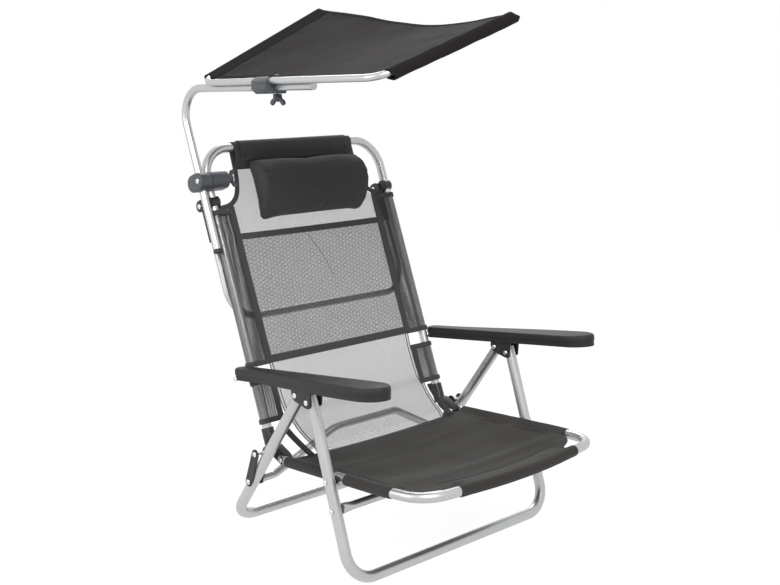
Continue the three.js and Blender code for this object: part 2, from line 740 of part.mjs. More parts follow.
// Upper clamp: lower and upper jaws hold the boom and the canopy rail together
const m_axis = new THREE.Vector3(0, boom_slope, 1).normalize();
const rear_axis = new THREE.Vector3(0, 1, -boom_slope).normalize();
const boom_frame = new THREE.Matrix4().makeBasis(new THREE.Vector3(1, 0, 0), rear_axis, m_axis)
  .setPosition(boom(boom_clamp_y));
const jaw_x = [-29, 19];
const jaw_split = 5;
const screw_x = 14.5;
const jaw_low = -13;
const jaw_top = 18;
const jaw_corner = 10;
const jaw_edge = 2;
// split line m0, far face m1: the outboard corner is cut wide, the bolt's corner only a little
function jaw(m0, m1) {
  const up = Math.sign(m1 - m0);
  const points = [
    [jaw_x[0], m0], [jaw_x[1], m0], [jaw_x[1], m1 - up * jaw_edge], [jaw_x[1] - jaw_edge, m1],
    [jaw_x[0] + jaw_corner, m1], [jaw_x[0], m1 - up * jaw_corner * 0.8],
  ].map(([x, m]) => new THREE.Vector2(x, m));
  const geometry = new THREE.ExtrudeGeometry(new THREE.Shape(points), { depth: boom_clamp_half * 2, bevelEnabled: false });
  return geometry.translate(0, 0, -boom_clamp_half).rotateX(Math.PI / 2);
}
const groove = (x, m, r) => new THREE.CylinderGeometry(r, r, 90, 14).translate(x, 0, m);
const screw_hole = new THREE.CylinderGeometry(2.6, 2.6, 90, 10).rotateX(Math.PI / 2).translate(screw_x, 0, 0);
const jaw_cuts = () => [
  groove(0, 0, post_r + seat_gap),
  groove(rail_off[0], rail_off[1], shade_r + seat_gap),
  screw_hole.clone(),
];
const place_boom = (geometry) => geometry.applyMatrix4(boom_frame);
add('shade_jaw_lower', place_boom(cut(jaw(jaw_split, jaw_low), ...jaw_cuts())), 'clamp_plastic');
add('shade_jaw_upper', place_boom(cut(jaw(jaw_split + seat_gap, jaw_top), ...jaw_cuts())), 'clamp_plastic');
const screw = new THREE.LatheGeometry([
  [0, -28], [2.3, -28], [2.3, 18.2], [5, 18.2], [5, 20.6], [3, 21.6], [0, 21.6],
].map(([r, z]) => new THREE.Vector2(r, z)), 12).rotateX(Math.PI / 2).translate(screw_x, 0, 0);
add('shade_bolt', place_boom(screw), 'bright_rivet');
const nut_wing = new THREE.ExtrudeGeometry(new THREE.Shape(wings(14, 9, 2.4)), { depth: 4, bevelEnabled: false })
  .translate(0, 0, -2)
  .rotateX(-Math.PI / 2)
  .rotateZ(Math.PI / 2)
  .translate(screw_x, 0, -19);
const nut_hub = new THREE.CylinderGeometry(6, 6.5, 9, 14).rotateX(Math.PI / 2).translate(screw_x, 0, -18);
add('wing_nut', place_boom(cut(join(nut_wing, nut_hub), screw_hole.clone())), 'black_plastic');

// Canopy frame: a rail beside the boom with two prongs that reach over the seat
function prong(y, d, drop = 0) {
  const u = (y - shade_rear_y) / (shade_front_y - shade_rear_y);
  const tilt = THREE.MathUtils.lerp(shade_tilt[shade_rear_y], shade_tilt[shade_front_y], u);
  return boom(y, ...rail_off).add(new THREE.Vector3(
    Math.cos(tilt) * d + Math.sin(tilt) * drop,
    0,
    Math.sin(tilt) * d - Math.cos(tilt) * drop,
  ));
}
const shade_route = new Route([
  prong(shade_rear_y, shade_l), prong(shade_rear_y, 0), prong(shade_front_y, 0), prong(shade_front_y, shade_l),
], [shade_bend, shade_bend]);
add('canopy_frame', tube(shade_route, shade_r, 12), 'satin_aluminium');

// Canopy cover: a sleeve on each prong, cloth hanging between them, scooped free edge
const cover = sheet(14, 10, (u, v, face) => {
  const reach = shade_l + 3 - shade_scoop * Math.pow(Math.sin(Math.PI * u), 0.8);
  const d = THREE.MathUtils.lerp(shade_start, reach, v);
  const y = THREE.MathUtils.lerp(shade_rear_y, shade_front_y, u);
  const sag = shade_sag * Math.sin(Math.PI * u) * (0.35 + 0.65 * v);
  return prong(y, d, sag - face * cloth);
});
const cover_sleeves = [shade_rear_y, shade_front_y].map((y) => tube(
  run(prong(y, shade_start), prong(y, shade_l + 6)),
  shade_r + seat_gap + cloth,
  12,
));
const cover_bores = [shade_rear_y, shade_front_y].map((y) => tube(
  run(prong(y, 0), prong(y, shade_l + seat_gap)),
  shade_r + seat_gap,
  12,
));
add('canopy_cover', cut(join(cover, ...cover_sleeves), ...cover_bores), 'sling_cloth');

// Rest the chair on the floor, centred over the origin
chair.updateMatrixWorld(true);
const bounds = new THREE.Box3().setFromObject(chair, true);
const middle = bounds.getCenter(new THREE.Vector3());
chair.position.set(-middle.x, -middle.y, -bounds.min.z);

export default chair;
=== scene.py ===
# %% [markdown]
# # A low folding beach chair with a clamp-on sunshade
#
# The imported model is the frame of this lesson: every tube, pin, clamp and strap is already in its
# place there, and it moves as it should. Here each piece gets the shape and finish that the eye
# expects. Drawings of the chair are in millimetres, with y measured from the front of the seat, so
# one small function turns a drawn place into Blender's metres.

# %% Load the frame
import json
import math

import bmesh
import bpy
from mathutils import Matrix, Vector, noise
from mathutils.bvhtree import BVHTree


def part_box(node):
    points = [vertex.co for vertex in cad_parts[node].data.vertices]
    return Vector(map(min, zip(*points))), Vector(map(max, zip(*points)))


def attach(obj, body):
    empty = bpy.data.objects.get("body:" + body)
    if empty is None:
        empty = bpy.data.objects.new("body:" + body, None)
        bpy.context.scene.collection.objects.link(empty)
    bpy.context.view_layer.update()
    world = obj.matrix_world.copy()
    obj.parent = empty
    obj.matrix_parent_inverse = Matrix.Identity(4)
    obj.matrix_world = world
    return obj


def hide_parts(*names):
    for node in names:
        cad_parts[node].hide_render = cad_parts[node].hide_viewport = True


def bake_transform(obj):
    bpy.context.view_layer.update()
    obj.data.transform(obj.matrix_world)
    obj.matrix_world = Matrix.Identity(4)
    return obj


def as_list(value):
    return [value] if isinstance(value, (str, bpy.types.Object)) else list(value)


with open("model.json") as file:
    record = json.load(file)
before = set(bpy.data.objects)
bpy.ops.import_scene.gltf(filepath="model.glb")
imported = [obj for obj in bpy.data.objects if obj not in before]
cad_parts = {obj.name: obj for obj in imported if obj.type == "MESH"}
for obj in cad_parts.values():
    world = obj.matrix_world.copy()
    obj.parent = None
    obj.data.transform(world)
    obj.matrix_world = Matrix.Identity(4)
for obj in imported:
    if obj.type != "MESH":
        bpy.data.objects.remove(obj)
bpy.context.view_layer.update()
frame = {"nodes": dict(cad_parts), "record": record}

# %% Millimetres of the drawing to metres of the scene
MM = 0.001
MIDDLE_Y = 400.96281719207764


def spot(x, y, z):
    return Vector((x, y - MIDDLE_Y, z)) * MM


print("front of the seat lies at", spot(0, 0, 0))

# %% [markdown]
# ## The camera
#
# The camera stands low in front of the chair, on the sitter's right, and is rolled a little. Its
# place was found by fitting the chair's mirrored tubes and rivets to the picture, so it is given
# here as a point, two aiming angles, a roll and a focal length in picture widths. A look-at helper
# would be shorter, but it could not hold the roll.

# %% Camera
CAMERA_AT = spot(-1599.2, -1247.2, 1034.8)
CAMERA_YAW, CAMERA_PITCH, CAMERA_ROLL = (math.radians(a) for a in (43.79, -13.59, 2.36))
SENSOR = 36.0
FOCAL_SHARE = 1179.2 / 780
ahead = Vector((
    math.sin(CAMERA_YAW) * math.cos(CAMERA_PITCH),
    math.cos(CAMERA_YAW) * math.cos(CAMERA_PITCH),
    math.sin(CAMERA_PITCH),
))
level_right = ahead.cross(Vector((0, 0, 1))).normalized()
level_up = level_right.cross(ahead)
camera_right = math.cos(CAMERA_ROLL) * level_right + math.sin(CAMERA_ROLL) * level_up
camera_up = math.cos(CAMERA_ROLL) * level_up - math.sin(CAMERA_ROLL) * level_right
camera_data = bpy.data.cameras.new("camera")
camera_data.sensor_width = SENSOR
camera_data.lens = SENSOR * FOCAL_SHARE
camera_data.clip_end = 50
camera = bpy.data.objects.new("camera", camera_data)
bpy.context.scene.collection.objects.link(camera)
turned = Matrix((camera_right, camera_up, -ahead)).transposed().to_4x4()
camera.matrix_world = Matrix.Translation(CAMERA_AT) @ turned
bpy.context.scene.camera = camera
print("lens", round(camera_data.lens, 2), "mm")

# %% [markdown]
# ## Floor and light
#
# The chair stands on a plain white floor under soft lamps. A lamp that is strong enough to make the
# floor pure white would also bleach the tubes, so the floor and the world show white only to rays
# that come from the camera or from a mirror-like surface. Every other ray meets a grey room, and
# three large lamps give the tubes their bright lines.

# %% Node helpers
def put(tree, kind, **values):
    """A new shader node with input values. An underscore in a socket's name stands for a space."""
    node = tree.nodes.new("ShaderNode" + kind)
    for socket, value in values.items():
        node.inputs[socket.replace("_", " ")].default_value = value
    return node


def find(tree, kind):
    return next(node for node in tree.nodes if node.bl_idname == "ShaderNode" + kind)


def join(tree, *pairs):
    """Links each source to its socket."""
    for source, socket in pairs:
        tree.links.new(source, socket)


def reckon(tree, operation, *values):
    """The result of a math node. Each value is a socket or a number."""
    node = put(tree, "Math")
    node.operation = operation
    for socket, value in zip(node.inputs, values):
        if isinstance(value, bpy.types.NodeSocket):
            tree.links.new(value, socket)
        else:
            socket.default_value = value
    return node.outputs[0]


def seen_directly(tree):
    """1 for rays from the camera, from gloss and through glass."""
    path = put(tree, "LightPath")
    total = path.outputs["Is Camera Ray"]
    for kind in ("Is Glossy Ray", "Is Transmission Ray"):
        total = reckon(tree, "MAXIMUM", total, path.outputs[kind])
    return total


def mix_into(end, tree, share, first, second):
    """Mixes two shaders by share and sends the result to the end node."""
    mix = put(tree, "MixShader")
    join(tree, *zip((share, first.outputs[0], second.outputs[0]), mix.inputs))
    join(tree, (mix.outputs[0], tree.nodes[end].inputs[0]))


print("helpers for shader nodes")

# %% Background that is white to the camera
ROOM_LIGHT = 0.42
WHITE = (1, 1, 1, 1)
scene = bpy.context.scene
scene.view_settings.view_transform = "Standard"
world = bpy.data.worlds.new("white_room")
scene.world = world
world.use_nodes = True
tree = world.node_tree
room = tree.nodes["Background"]
room.inputs["Color"].default_value = WHITE
room.inputs["Strength"].default_value = ROOM_LIGHT
mix_into("World Output", tree, seen_directly(tree), room, put(tree, "Background", Color=WHITE, Strength=1))
print("room light", ROOM_LIGHT)

# %% Floor that keeps a soft shadow
FLOOR_HALF, FLOOR_DROP = 12, 0.0005
FLOOR_WHITE, FLOOR_GLOW, FLOOR_LIFT = 0.9, 0.86, 1.1
bm = bmesh.new()
bmesh.ops.create_grid(bm, x_segments=1, y_segments=1, size=FLOOR_HALF)
floor_mesh = bpy.data.meshes.new("floor")
bm.to_mesh(floor_mesh)
bm.free()
floor = bpy.data.objects.new("floor", floor_mesh)
scene.collection.objects.link(floor)
floor.location.z = -FLOOR_DROP
floor_paint = bpy.data.materials.new("floor_paint")
floor_paint.use_nodes = True
tree = floor_paint.node_tree
matt = tree.nodes["Principled BSDF"]
matt.inputs["Base Color"].default_value = (FLOOR_WHITE, FLOOR_WHITE, FLOOR_WHITE, 1)
matt.inputs["Roughness"].default_value = 1
matt.inputs["Specular IOR Level"].default_value = 0
shown = reckon(tree, "MULTIPLY", seen_directly(tree), FLOOR_GLOW)
mix_into("Material Output", tree, shown, matt, put(tree, "Emission", Strength=FLOOR_LIFT))
floor_mesh.materials.append(floor_paint)
print("floor shows its shadow at", round(1 - FLOOR_GLOW, 2), "of its depth")

# %% Lamps
def lamp(name, place, aim, size, watts):
    """A square lamp at place, in metres, that points at aim."""
    data = bpy.data.lights.new(name, "AREA")
    data.shape = "SQUARE"
    data.size = size
    data.energy = watts
    thing = bpy.data.objects.new(name, data)
    turn = (Vector(aim) - Vector(place)).to_track_quat("-Z", "Y").to_matrix().to_4x4()
    thing.matrix_world = Matrix.Translation(place) @ turn
    scene.collection.objects.link(thing)


lamp("key_lamp", (-1.3, -2.0, 2.6), (0, 0, 0.4), 1.2, 54)
lamp("side_lamp", (-2.6, 0.6, 1.5), (0, 0, 0.4), 1.0, 26)
lamp("back_lamp", (1.6, 2.2, 2.2), (0, 0, 0.5), 1.2, 28)
print("three lamps")

# %% [markdown]
# ## Finishes
#
# Each finish is one material. A helper sets the plain values on the shader itself, and adds two
# things that a flat colour lacks: a noise that shifts the colour and roughness a little, and a bump
# at the scale of the real grain. The patterns read object coordinates, so they stay on the piece
# when it moves.

# %% Material helper
SHEEN_ROUGH = 0.6


def finish(
    name, colour, rough, metal=0.0, spread=0.12, blotch=30, grain=900, depth=2e-5, sheen=0.0, gloss=0.5,
):
    """A material with mottled colour and roughness and a fine grain. depth is the bump in metres."""
    made = bpy.data.materials.new(name)
    made.use_nodes = True
    tree = made.node_tree
    skin = tree.nodes["Principled BSDF"]
    skin.inputs["Metallic"].default_value = metal
    skin.inputs["Specular IOR Level"].default_value = gloss
    skin.inputs["Sheen Weight"].default_value = sheen
    skin.inputs["Sheen Roughness"].default_value = SHEEN_ROUGH
    place = put(tree, "TexCoord").outputs["Object"]
    patches = put(tree, "TexNoise", Scale=blotch, Detail=4)
    tint = put(tree, "Mix")
    tint.data_type = "RGBA"
    for socket, share in (("A", 1 - spread), ("B", 1 + spread)):
        tint.inputs[socket].default_value = (*(min(c * share, 1) for c in colour), 1)
    shine = put(tree, "MapRange", To_Min=rough * (1 - spread), To_Max=rough * (1 + spread))
    fine = put(tree, "TexNoise", Scale=grain, Detail=3)
    bump = put(tree, "Bump", Strength=1, Distance=depth)
    join(
        tree,
        (place, patches.inputs["Vector"]),
        (place, fine.inputs["Vector"]),
        (patches.outputs["Fac"], tint.inputs["Factor"]),
        (patches.outputs["Fac"], shine.inputs["Value"]),
        (tint.outputs["Result"], skin.inputs["Base Color"]),
        (shine.outputs["Result"], skin.inputs["Roughness"]),
        (fine.outputs["Fac"], bump.inputs["Height"]),
        (bump.outputs["Normal"], skin.inputs["Normal"]),
    )
    return made


# %% Metal and plastic
aluminium = finish(
    "satin_aluminium", (0.53, 0.535, 0.54), 0.36, metal=0.85, spread=0.05, blotch=18, grain=1400, depth=1.2e-5,
)
rivet_metal = finish(
    "bright_rivet", (0.72, 0.72, 0.72), 0.24, metal=1.0, spread=0.08, blotch=300, grain=1800, depth=1e-5,
)
black_plastic = finish(
    "black_plastic", (0.016, 0.016, 0.018), 0.42, spread=0.15, blotch=60, grain=1500, depth=3e-5,
)
grey_plastic = finish(
    "grey_plastic", (0.021, 0.021, 0.022), 0.5, spread=0.06, blotch=40, grain=1300, depth=5e-5, gloss=0.28,
)
clamp_plastic = finish(
    "clamp_plastic", (0.060, 0.066, 0.076), 0.4, spread=0.08, blotch=60, grain=1500, depth=3e-5,
)
print("five finishes for metal and plastic")

# %% [markdown]
# Cloth needs a weave. The sling, the shade and the pillow are a close plain weave, so two waves at
# right angles raise and lower the threads. The back is an open net: its threads are the mortar
# between the bricks of a brick pattern, and the bricks themselves are holes, made through the
# shader's alpha. Both read a UV map that is laid out in metres, so a thread has the same width
# everywhere.

# %% Close weave
THREAD = 0.0007


def close_weave(name, colour, rough=0.85, sheen=0.12, gloss=0.3):
    """Plain woven cloth on a UV map in metres."""
    made = finish(name, colour, rough, spread=0.1, blotch=9, sheen=sheen, gloss=gloss)
    tree = made.node_tree
    uv = put(tree, "UVMap").outputs["UV"]
    heights = []
    for way in ("X", "Y"):
        wave = put(tree, "TexWave", Scale=1 / (THREAD * 20) * 2, Distortion=0.6, Detail=1)
        wave.bands_direction = way
        join(tree, (uv, wave.inputs["Vector"]))
        heights.append(wave.outputs["Fac"])
    bump = find(tree, "Bump")
    bump.inputs["Distance"].default_value = THREAD * 0.12
    join(tree, (reckon(tree, "ADD", *heights), bump.inputs["Height"]))
    return made


sling_cloth = close_weave("sling_cloth", (0.036, 0.034, 0.0315), sheen=0.08, gloss=0.2)
shade_cloth = close_weave("shade_cloth", (0.0135, 0.0112, 0.0125), sheen=0.02, gloss=0.12)
pillow_cloth = close_weave("pillow_cloth", (0.047, 0.0445, 0.0445))
binding = close_weave("binding_tape", (0.056, 0.0535, 0.0525), rough=0.75)
strap_web = close_weave("strap_web", (0.018, 0.018, 0.019), rough=0.7)
print("five close weaves, thread", THREAD)

# %% Open net
NET_PITCH, ROW_SHARE = 0.0022, 0.68
SLEEVE_MIDDLE = 0.0635
OPEN_OVER_TUBE = {"From_Min": 0.018, "From_Max": 0.026, "To_Min": 0.07, "To_Max": 0.13}


def open_net(name, colour, wire, pitch=NET_PITCH, turn=0.0):
    """Net on a UV map in metres. wire is the share of the pitch on each side of a hole."""
    made = finish(name, colour, 0.6, spread=0.1, blotch=14, sheen=0.05)
    tree = made.node_tree
    bricks = put(
        tree, "TexBrick", Scale=1 / pitch, Brick_Width=1, Row_Height=ROW_SHARE, Mortar_Size=wire,
        Mortar_Smooth=0,
    )
    lay = put(tree, "Mapping", Rotation=(0, 0, math.radians(turn)))
    bump = find(tree, "Bump")
    bump.inputs["Distance"].default_value = pitch * 0.1
    join(
        tree,
        (put(tree, "UVMap").outputs["UV"], lay.inputs["Vector"]),
        (lay.outputs["Vector"], bricks.inputs["Vector"]),
        (bricks.outputs["Fac"], tree.nodes["Principled BSDF"].inputs["Alpha"]),
        (bricks.outputs["Fac"], bump.inputs["Height"]),
    )
    return made


net = open_net("net_cloth", (0.15, 0.15, 0.155), 0.092)
pocket_net = open_net("pocket_net", (0.13, 0.13, 0.135), 0.079, pitch=0.0027, turn=6)
sleeve_net = open_net("sleeve_net", (0.035, 0.034, 0.034), 0.125)
# Over the tube the net is pulled open
tree = sleeve_net.node_tree
split = put(tree, "SeparateXYZ")
join(tree, (put(tree, "UVMap").outputs["UV"], split.inputs[0]))
off = reckon(tree, "ABSOLUTE", reckon(tree, "SUBTRACT", split.outputs["X"], SLEEVE_MIDDLE))
pulled = put(tree, "MapRange", **OPEN_OVER_TUBE)
join(tree, (off, pulled.inputs["Value"]))
join(tree, (pulled.outputs["Result"], find(tree, "TexBrick").inputs["Mortar Size"]))
print("net pitch", NET_PITCH)

# %% [markdown]
# ## Tubes
#
# Every tube of the chair is a straight aluminium tube that a bending machine turned round a former.
# The same two moves make it here: a circle is extruded along each straight, and spun round the
# centre of each bend. A curve with a round bevel would be quicker, but its rings crowd together in
# tight bends, while spin gives even rings like the real bend.

# %% Bent tube
SIDES = 32
BEND_STEP = math.radians(6)


def new_piece(name, bm, body, material, *nodes, sharp=35):
    """Turns a bmesh into a finished piece that rides on a body, if one is named, and stands for the nodes."""
    mesh = bpy.data.meshes.new(name)
    bm.to_mesh(mesh)
    bm.free()
    mesh.shade_smooth()
    mesh.set_sharp_from_angle(angle=math.radians(sharp))
    mesh.materials.append(material)
    piece = bpy.data.objects.new(name, mesh)
    scene.collection.objects.link(piece)
    if body:
        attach(piece, body)
    if nodes:
        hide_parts(*nodes)
    return piece


def only(geometry, kind):
    return [g for g in geometry if isinstance(g, kind)]


def ring_at(bm, place, heading, radius):
    """A circle of edges round a heading."""
    turn = heading.to_track_quat("Z", "Y").to_matrix().to_4x4()
    made = bmesh.ops.create_circle(bm, segments=SIDES, radius=radius, matrix=Matrix.Translation(place) @ turn)
    return list({edge for vert in made["verts"] for edge in vert.link_edges})


def pull(bm, edges, step):
    """Extrudes a loop of edges and moves the new loop by step."""
    made = bmesh.ops.extrude_edge_only(bm, edges=edges)["geom"]
    bmesh.ops.translate(bm, verts=only(made, bmesh.types.BMVert), vec=step)
    return only(made, bmesh.types.BMEdge)


def bend_tube(bm, corners, bends, radius):
    """A tube through the corners, each corner rounded to a bend radius. Lengths in metres."""
    heading = (corners[1] - corners[0]).normalized()
    here = corners[0]
    first = edges = ring_at(bm, here, heading, radius)
    for corner, after, bend in zip(corners[1:-1], corners[2:], bends):
        onward = (after - corner).normalized()
        angle = heading.angle(onward)
        begin = corner - heading * bend * math.tan(angle / 2)
        edges = pull(bm, edges, begin - here)
        inward = (onward - heading * heading.dot(onward)).normalized()
        verts = list({v for e in edges for v in e.verts})
        made = bmesh.ops.spin(
            bm, geom=verts + edges, cent=begin + inward * bend, axis=heading.cross(onward).normalized(),
            angle=angle, steps=max(3, round(angle / BEND_STEP)), use_duplicate=False,
        )
        edges = only(made["geom_last"], bmesh.types.BMEdge)
        here = corner + onward * bend * math.tan(angle / 2)
        heading = onward
    for loop in (first, pull(bm, edges, corners[-1] - here)):
        bmesh.ops.contextual_create(bm, geom=loop)
    bmesh.ops.recalc_face_normals(bm, faces=bm.faces)


print("tubes have", SIDES, "sides and bend in steps of", round(math.degrees(BEND_STEP)), "degrees")

# %% [markdown]
# The drawing gives each tube by its corners and bend radii. Places on the backrest are easier to
# read along its slope: s runs up the centre line of the frame and n points out of its back. The seat
# rails rise a little towards the front, so their height follows from y.

# %% The chair's own guide lines
FRONT_FOOT, FRONT_PIN = (202.8, 11), (328, 326.8)
REAR_FOOT, REAR_PIN = (565.7, 11), (361.2, 332.3)
LEG_X, LEG_R, LEG_BEND, LEG_OVER = 275, 11, 55, 12
SEAT_HINGE, SEAT_PIVOT_Y = (449.5, 168), 273
RAIL_X, RAIL_R, RAIL_SLOPE, RAIL_END = 248, 9.5, 0.1125, 434
RAIL_BEND_Y, NOSE_CORNER = 170, (238, 66)
NOSE_Y, NOSE_ROUND = 34, 900
BACK_X, BACK_R, BACK_BEND, BACK_TOP, BACK_LOW = 238, 9.5, 65, 592, -10
BACK_FOOT, BACK_RISE = (502, 200), (0.4115, 0.9114)
LINK_PIN = (499, 115.8)
CROSS_BAR, THIN_R = (253, 137.5), 8
UP_Y, UP_Z = (v / math.hypot(*BACK_RISE) for v in BACK_RISE)
HANDS = {"right": -1, "left": 1}


def lean(s, n=0.0):
    return BACK_FOOT[0] + UP_Y * s + UP_Z * n, BACK_FOOT[1] + UP_Z * s - UP_Y * n


def back(x, s, n=0.0):
    return spot(x, *lean(s, n))


def s_at(z):
    return (z - BACK_FOOT[1]) / UP_Z


def rail(x, y, lift=0.0):
    return spot(x, y, SEAT_HINGE[1] + (SEAT_HINGE[0] - y) * RAIL_SLOPE + lift)


def beyond(a, b, d):
    """The point d past a on the line from b to a, in the side view."""
    gap = math.hypot(a[0] - b[0], a[1] - b[1])
    return a[0] + (a[0] - b[0]) * d / gap, a[1] + (a[1] - b[1]) * d / gap


def blend01(t):
    """Rises smoothly from 0 to 1 as t does."""
    t = min(max(t, 0), 1)
    return t * t * (3 - 2 * t)


print("top bar of the backrest", [round(v) for v in lean(BACK_TOP)])

# %% Legs
for name, foot, pin, body in (
    ("front_leg_tube", FRONT_FOOT, FRONT_PIN, "front_legs"),
    ("rear_leg_tube", REAR_FOOT, REAR_PIN, "rear_legs"),
):
    bm = bmesh.new()
    top = beyond(pin, foot, LEG_OVER)
    corners = [spot(-LEG_X, *top), spot(-LEG_X, *foot), spot(LEG_X, *foot), spot(LEG_X, *top)]
    bend_tube(bm, corners, [LEG_BEND * MM] * 2, LEG_R * MM)
    new_piece(name, bm, body, aluminium, name.replace("tube", "frame"))
print("two leg tubes")

# %% [markdown]
# The bar between the front legs is a thin tube whose ends were pressed flat, drilled and riveted to
# the legs. A pressed end is a short piece of the tube that fades from round to flat: the last rings
# are squeezed along the bar's own width and spread in height, just as the press does it.

# %% Tubes with pressed ends
PRESS_LENGTH, PRESS_STEP = 26, 9
PRESS_TALLER, PRESS_THINNER = 0.45, 0.62
TAB_R, TAB_T, TAB_GAP = 10, 3, 0.3
ACROSS = Matrix.Rotation(math.radians(90), 4, "Y")


def press_ends(bm, inner_x, outer_x, centre):
    """Squeezes a bar along X into flat tabs beyond inner_x. centre is the bar's end in the side view."""
    for vert in bm.verts:
        x = abs(vert.co.x) / MM
        if x > inner_x:
            share = blend01((x - inner_x) / (outer_x - inner_x))
            vert.co.z = centre.z + (vert.co.z - centre.z) * (1 + PRESS_TALLER * share)
            vert.co.y = centre.y + (vert.co.y - centre.y) * (1 - PRESS_THINNER * share)


def disc(bm, place, radius, thick):
    """A round plate across X. Millimetres, apart from the place."""
    bmesh.ops.create_cone(
        bm, cap_ends=True, segments=32, radius1=radius * MM, radius2=radius * MM, depth=thick * MM,
        matrix=Matrix.Translation(place) @ ACROSS,
    )


bm = bmesh.new()
tab_out = LEG_X - LEG_R - TAB_GAP
neck = tab_out - TAB_T
half_stops = [neck, neck - PRESS_STEP, neck - 2 * PRESS_STEP, neck - PRESS_LENGTH]
stops = [-x for x in half_stops] + half_stops[::-1]
first = edges = ring_at(bm, spot(stops[0], *CROSS_BAR), Vector((1, 0, 0)), THIN_R * MM)
for low, high in zip(stops, stops[1:]):
    edges = pull(bm, edges, Vector(((high - low) * MM, 0, 0)))
bmesh.ops.contextual_create(bm, geom=first)
bmesh.ops.contextual_create(bm, geom=edges)
press_ends(bm, neck - PRESS_LENGTH, neck, spot(0, *CROSS_BAR))
for side in (-1, 1):
    disc(bm, spot(side * (tab_out - TAB_T / 2), *CROSS_BAR), TAB_R, TAB_T)
bmesh.ops.recalc_face_normals(bm, faces=bm.faces)
new_piece("cross_bar", bm, "front_legs", aluminium, "front_cross_bar")
print("cross bar", round(2 * tab_out), "mm over its tabs")

# %% Seat frame
RAIL_BENDS = (200, 60, NOSE_ROUND, 60, 200)
LUG = (4, 17, 8.5)
seat_half = [(RAIL_X, RAIL_END), (RAIL_X, RAIL_BEND_Y), NOSE_CORNER]
right, left = ([rail(sign * x, y) for x, y in seat_half] for sign in (-1, 1))
corners = [*right, rail(0, NOSE_Y), *reversed(left)]
bm = bmesh.new()
bend_tube(bm, corners, [r * MM for r in RAIL_BENDS], RAIL_R * MM)
for side in (-1, 1):
    # The rear end of each rail is pressed into a flat lug round the hinge pin
    made = bmesh.ops.create_cube(bm, size=1)["verts"]
    low, high = RAIL_END - 14, SEAT_HINGE[0]
    bmesh.ops.scale(bm, verts=made, vec=Vector((LUG[0], high - low, LUG[1])) * MM)
    bmesh.ops.rotate(bm, verts=made, matrix=Matrix.Rotation(-math.atan(RAIL_SLOPE), 3, "X"), cent=Vector())
    bmesh.ops.translate(bm, verts=made, vec=rail(side * RAIL_X, (low + high) / 2))
    disc(bm, spot(side * RAIL_X, *SEAT_HINGE), LUG[2], LUG[0])
new_piece("seat_tube", bm, "seat", aluminium, "seat_frame")
print("seat frame", round(2 * RAIL_X), "mm between its rails")

# %% Backrest frame, prop bow and tie bar
BOW_N, BOW_S, BOW_FOOT, BOW_BEND, BOW_IN_CUP = 24, 480.5, 243, 60, 6
TIE_MIDDLE, TIE_KINK = (84, (478, 193)), (226, (497, 117.5))
bm = bmesh.new()
corners = [back(-BACK_X, BACK_LOW), back(-BACK_X, BACK_TOP), back(BACK_X, BACK_TOP), back(BACK_X, BACK_LOW)]
bend_tube(bm, corners, [BACK_BEND * MM] * 2, BACK_R * MM)
new_piece("back_tube", bm, "backrest", aluminium, "backrest_frame")
bm = bmesh.new()
corners = [
    back(x, s, BOW_N) for x, s in (
        (-BACK_X, BOW_S + BOW_IN_CUP), (-BACK_X, BOW_FOOT), (BACK_X, BOW_FOOT), (BACK_X, BOW_S + BOW_IN_CUP),
    )
]
bend_tube(bm, corners, [BOW_BEND * MM] * 2, THIN_R * MM)
new_piece("bow_tube", bm, "prop_bow", aluminium, "prop_bow")
bm = bmesh.new()
tie_out = LEG_X - LEG_R - 0.5 - TAB_T - TAB_GAP
tie_half = [(tie_out - 1, LINK_PIN), TIE_KINK, TIE_MIDDLE]
corners = [spot(-x, *at) for x, at in tie_half] + [spot(x, *at) for x, at in reversed(tie_half)]
bend_tube(bm, corners, [r * MM for r in (24, 50, 50, 24)], THIN_R * MM)
for side in (-1, 1):
    disc(bm, spot(side * (tie_out - TAB_T / 2), *LINK_PIN), TAB_R, TAB_T)
new_piece("tie_bar", bm, "links", aluminium, "link_tie_bar")
print("three more tubes")

# %% Canopy post and canopy frame
POST_X, POST_N, POST_LOW, POST_TOP, POST_BEND = -259, -8, 384, 718.7, 55
BOOM_SLOPE, BOOM_END, BOOM_CLAMP = 0.0893, 365, 487
RAIL_OFF = (-15.5, 10)
SHADE_R, SHADE_REAR, SHADE_FRONT, SHADE_L, SHADE_BEND = 6.3, 690, 176, 328, 40
REAR_TILT, FRONT_TILT = math.radians(25.5), math.radians(18.5)
post_corner = lean(POST_TOP, POST_N)


def boom(y, x=0.0, m=0.0):
    return spot(POST_X + x, y + m * BOOM_SLOPE, post_corner[1] + (post_corner[0] - y) * BOOM_SLOPE + m)


def prong(y, d, drop=0.0):
    """A point over the prong line at y: d along the prong, drop below it."""
    u = (y - SHADE_REAR) / (SHADE_FRONT - SHADE_REAR)
    tilt = REAR_TILT + (FRONT_TILT - REAR_TILT) * u
    along = math.cos(tilt) * d + math.sin(tilt) * drop
    up = math.sin(tilt) * d - math.cos(tilt) * drop
    return boom(y, *RAIL_OFF) + Vector((along, 0, up)) * MM


bm = bmesh.new()
corners = [back(POST_X, POST_LOW, POST_N), spot(POST_X, *post_corner), boom(BOOM_END)]
bend_tube(bm, corners, [POST_BEND * MM], THIN_R * MM)
new_piece("post_tube", bm, "canopy_post", aluminium, "canopy_post")
bm = bmesh.new()
corners = [prong(SHADE_REAR, d) for d in (SHADE_L, 0)] + [prong(SHADE_FRONT, d) for d in (0, SHADE_L)]
bend_tube(bm, corners, [SHADE_BEND * MM] * 2, SHADE_R * MM)
new_piece("shade_tube", bm, "canopy", aluminium, "canopy_frame")
print("post and canopy frame")

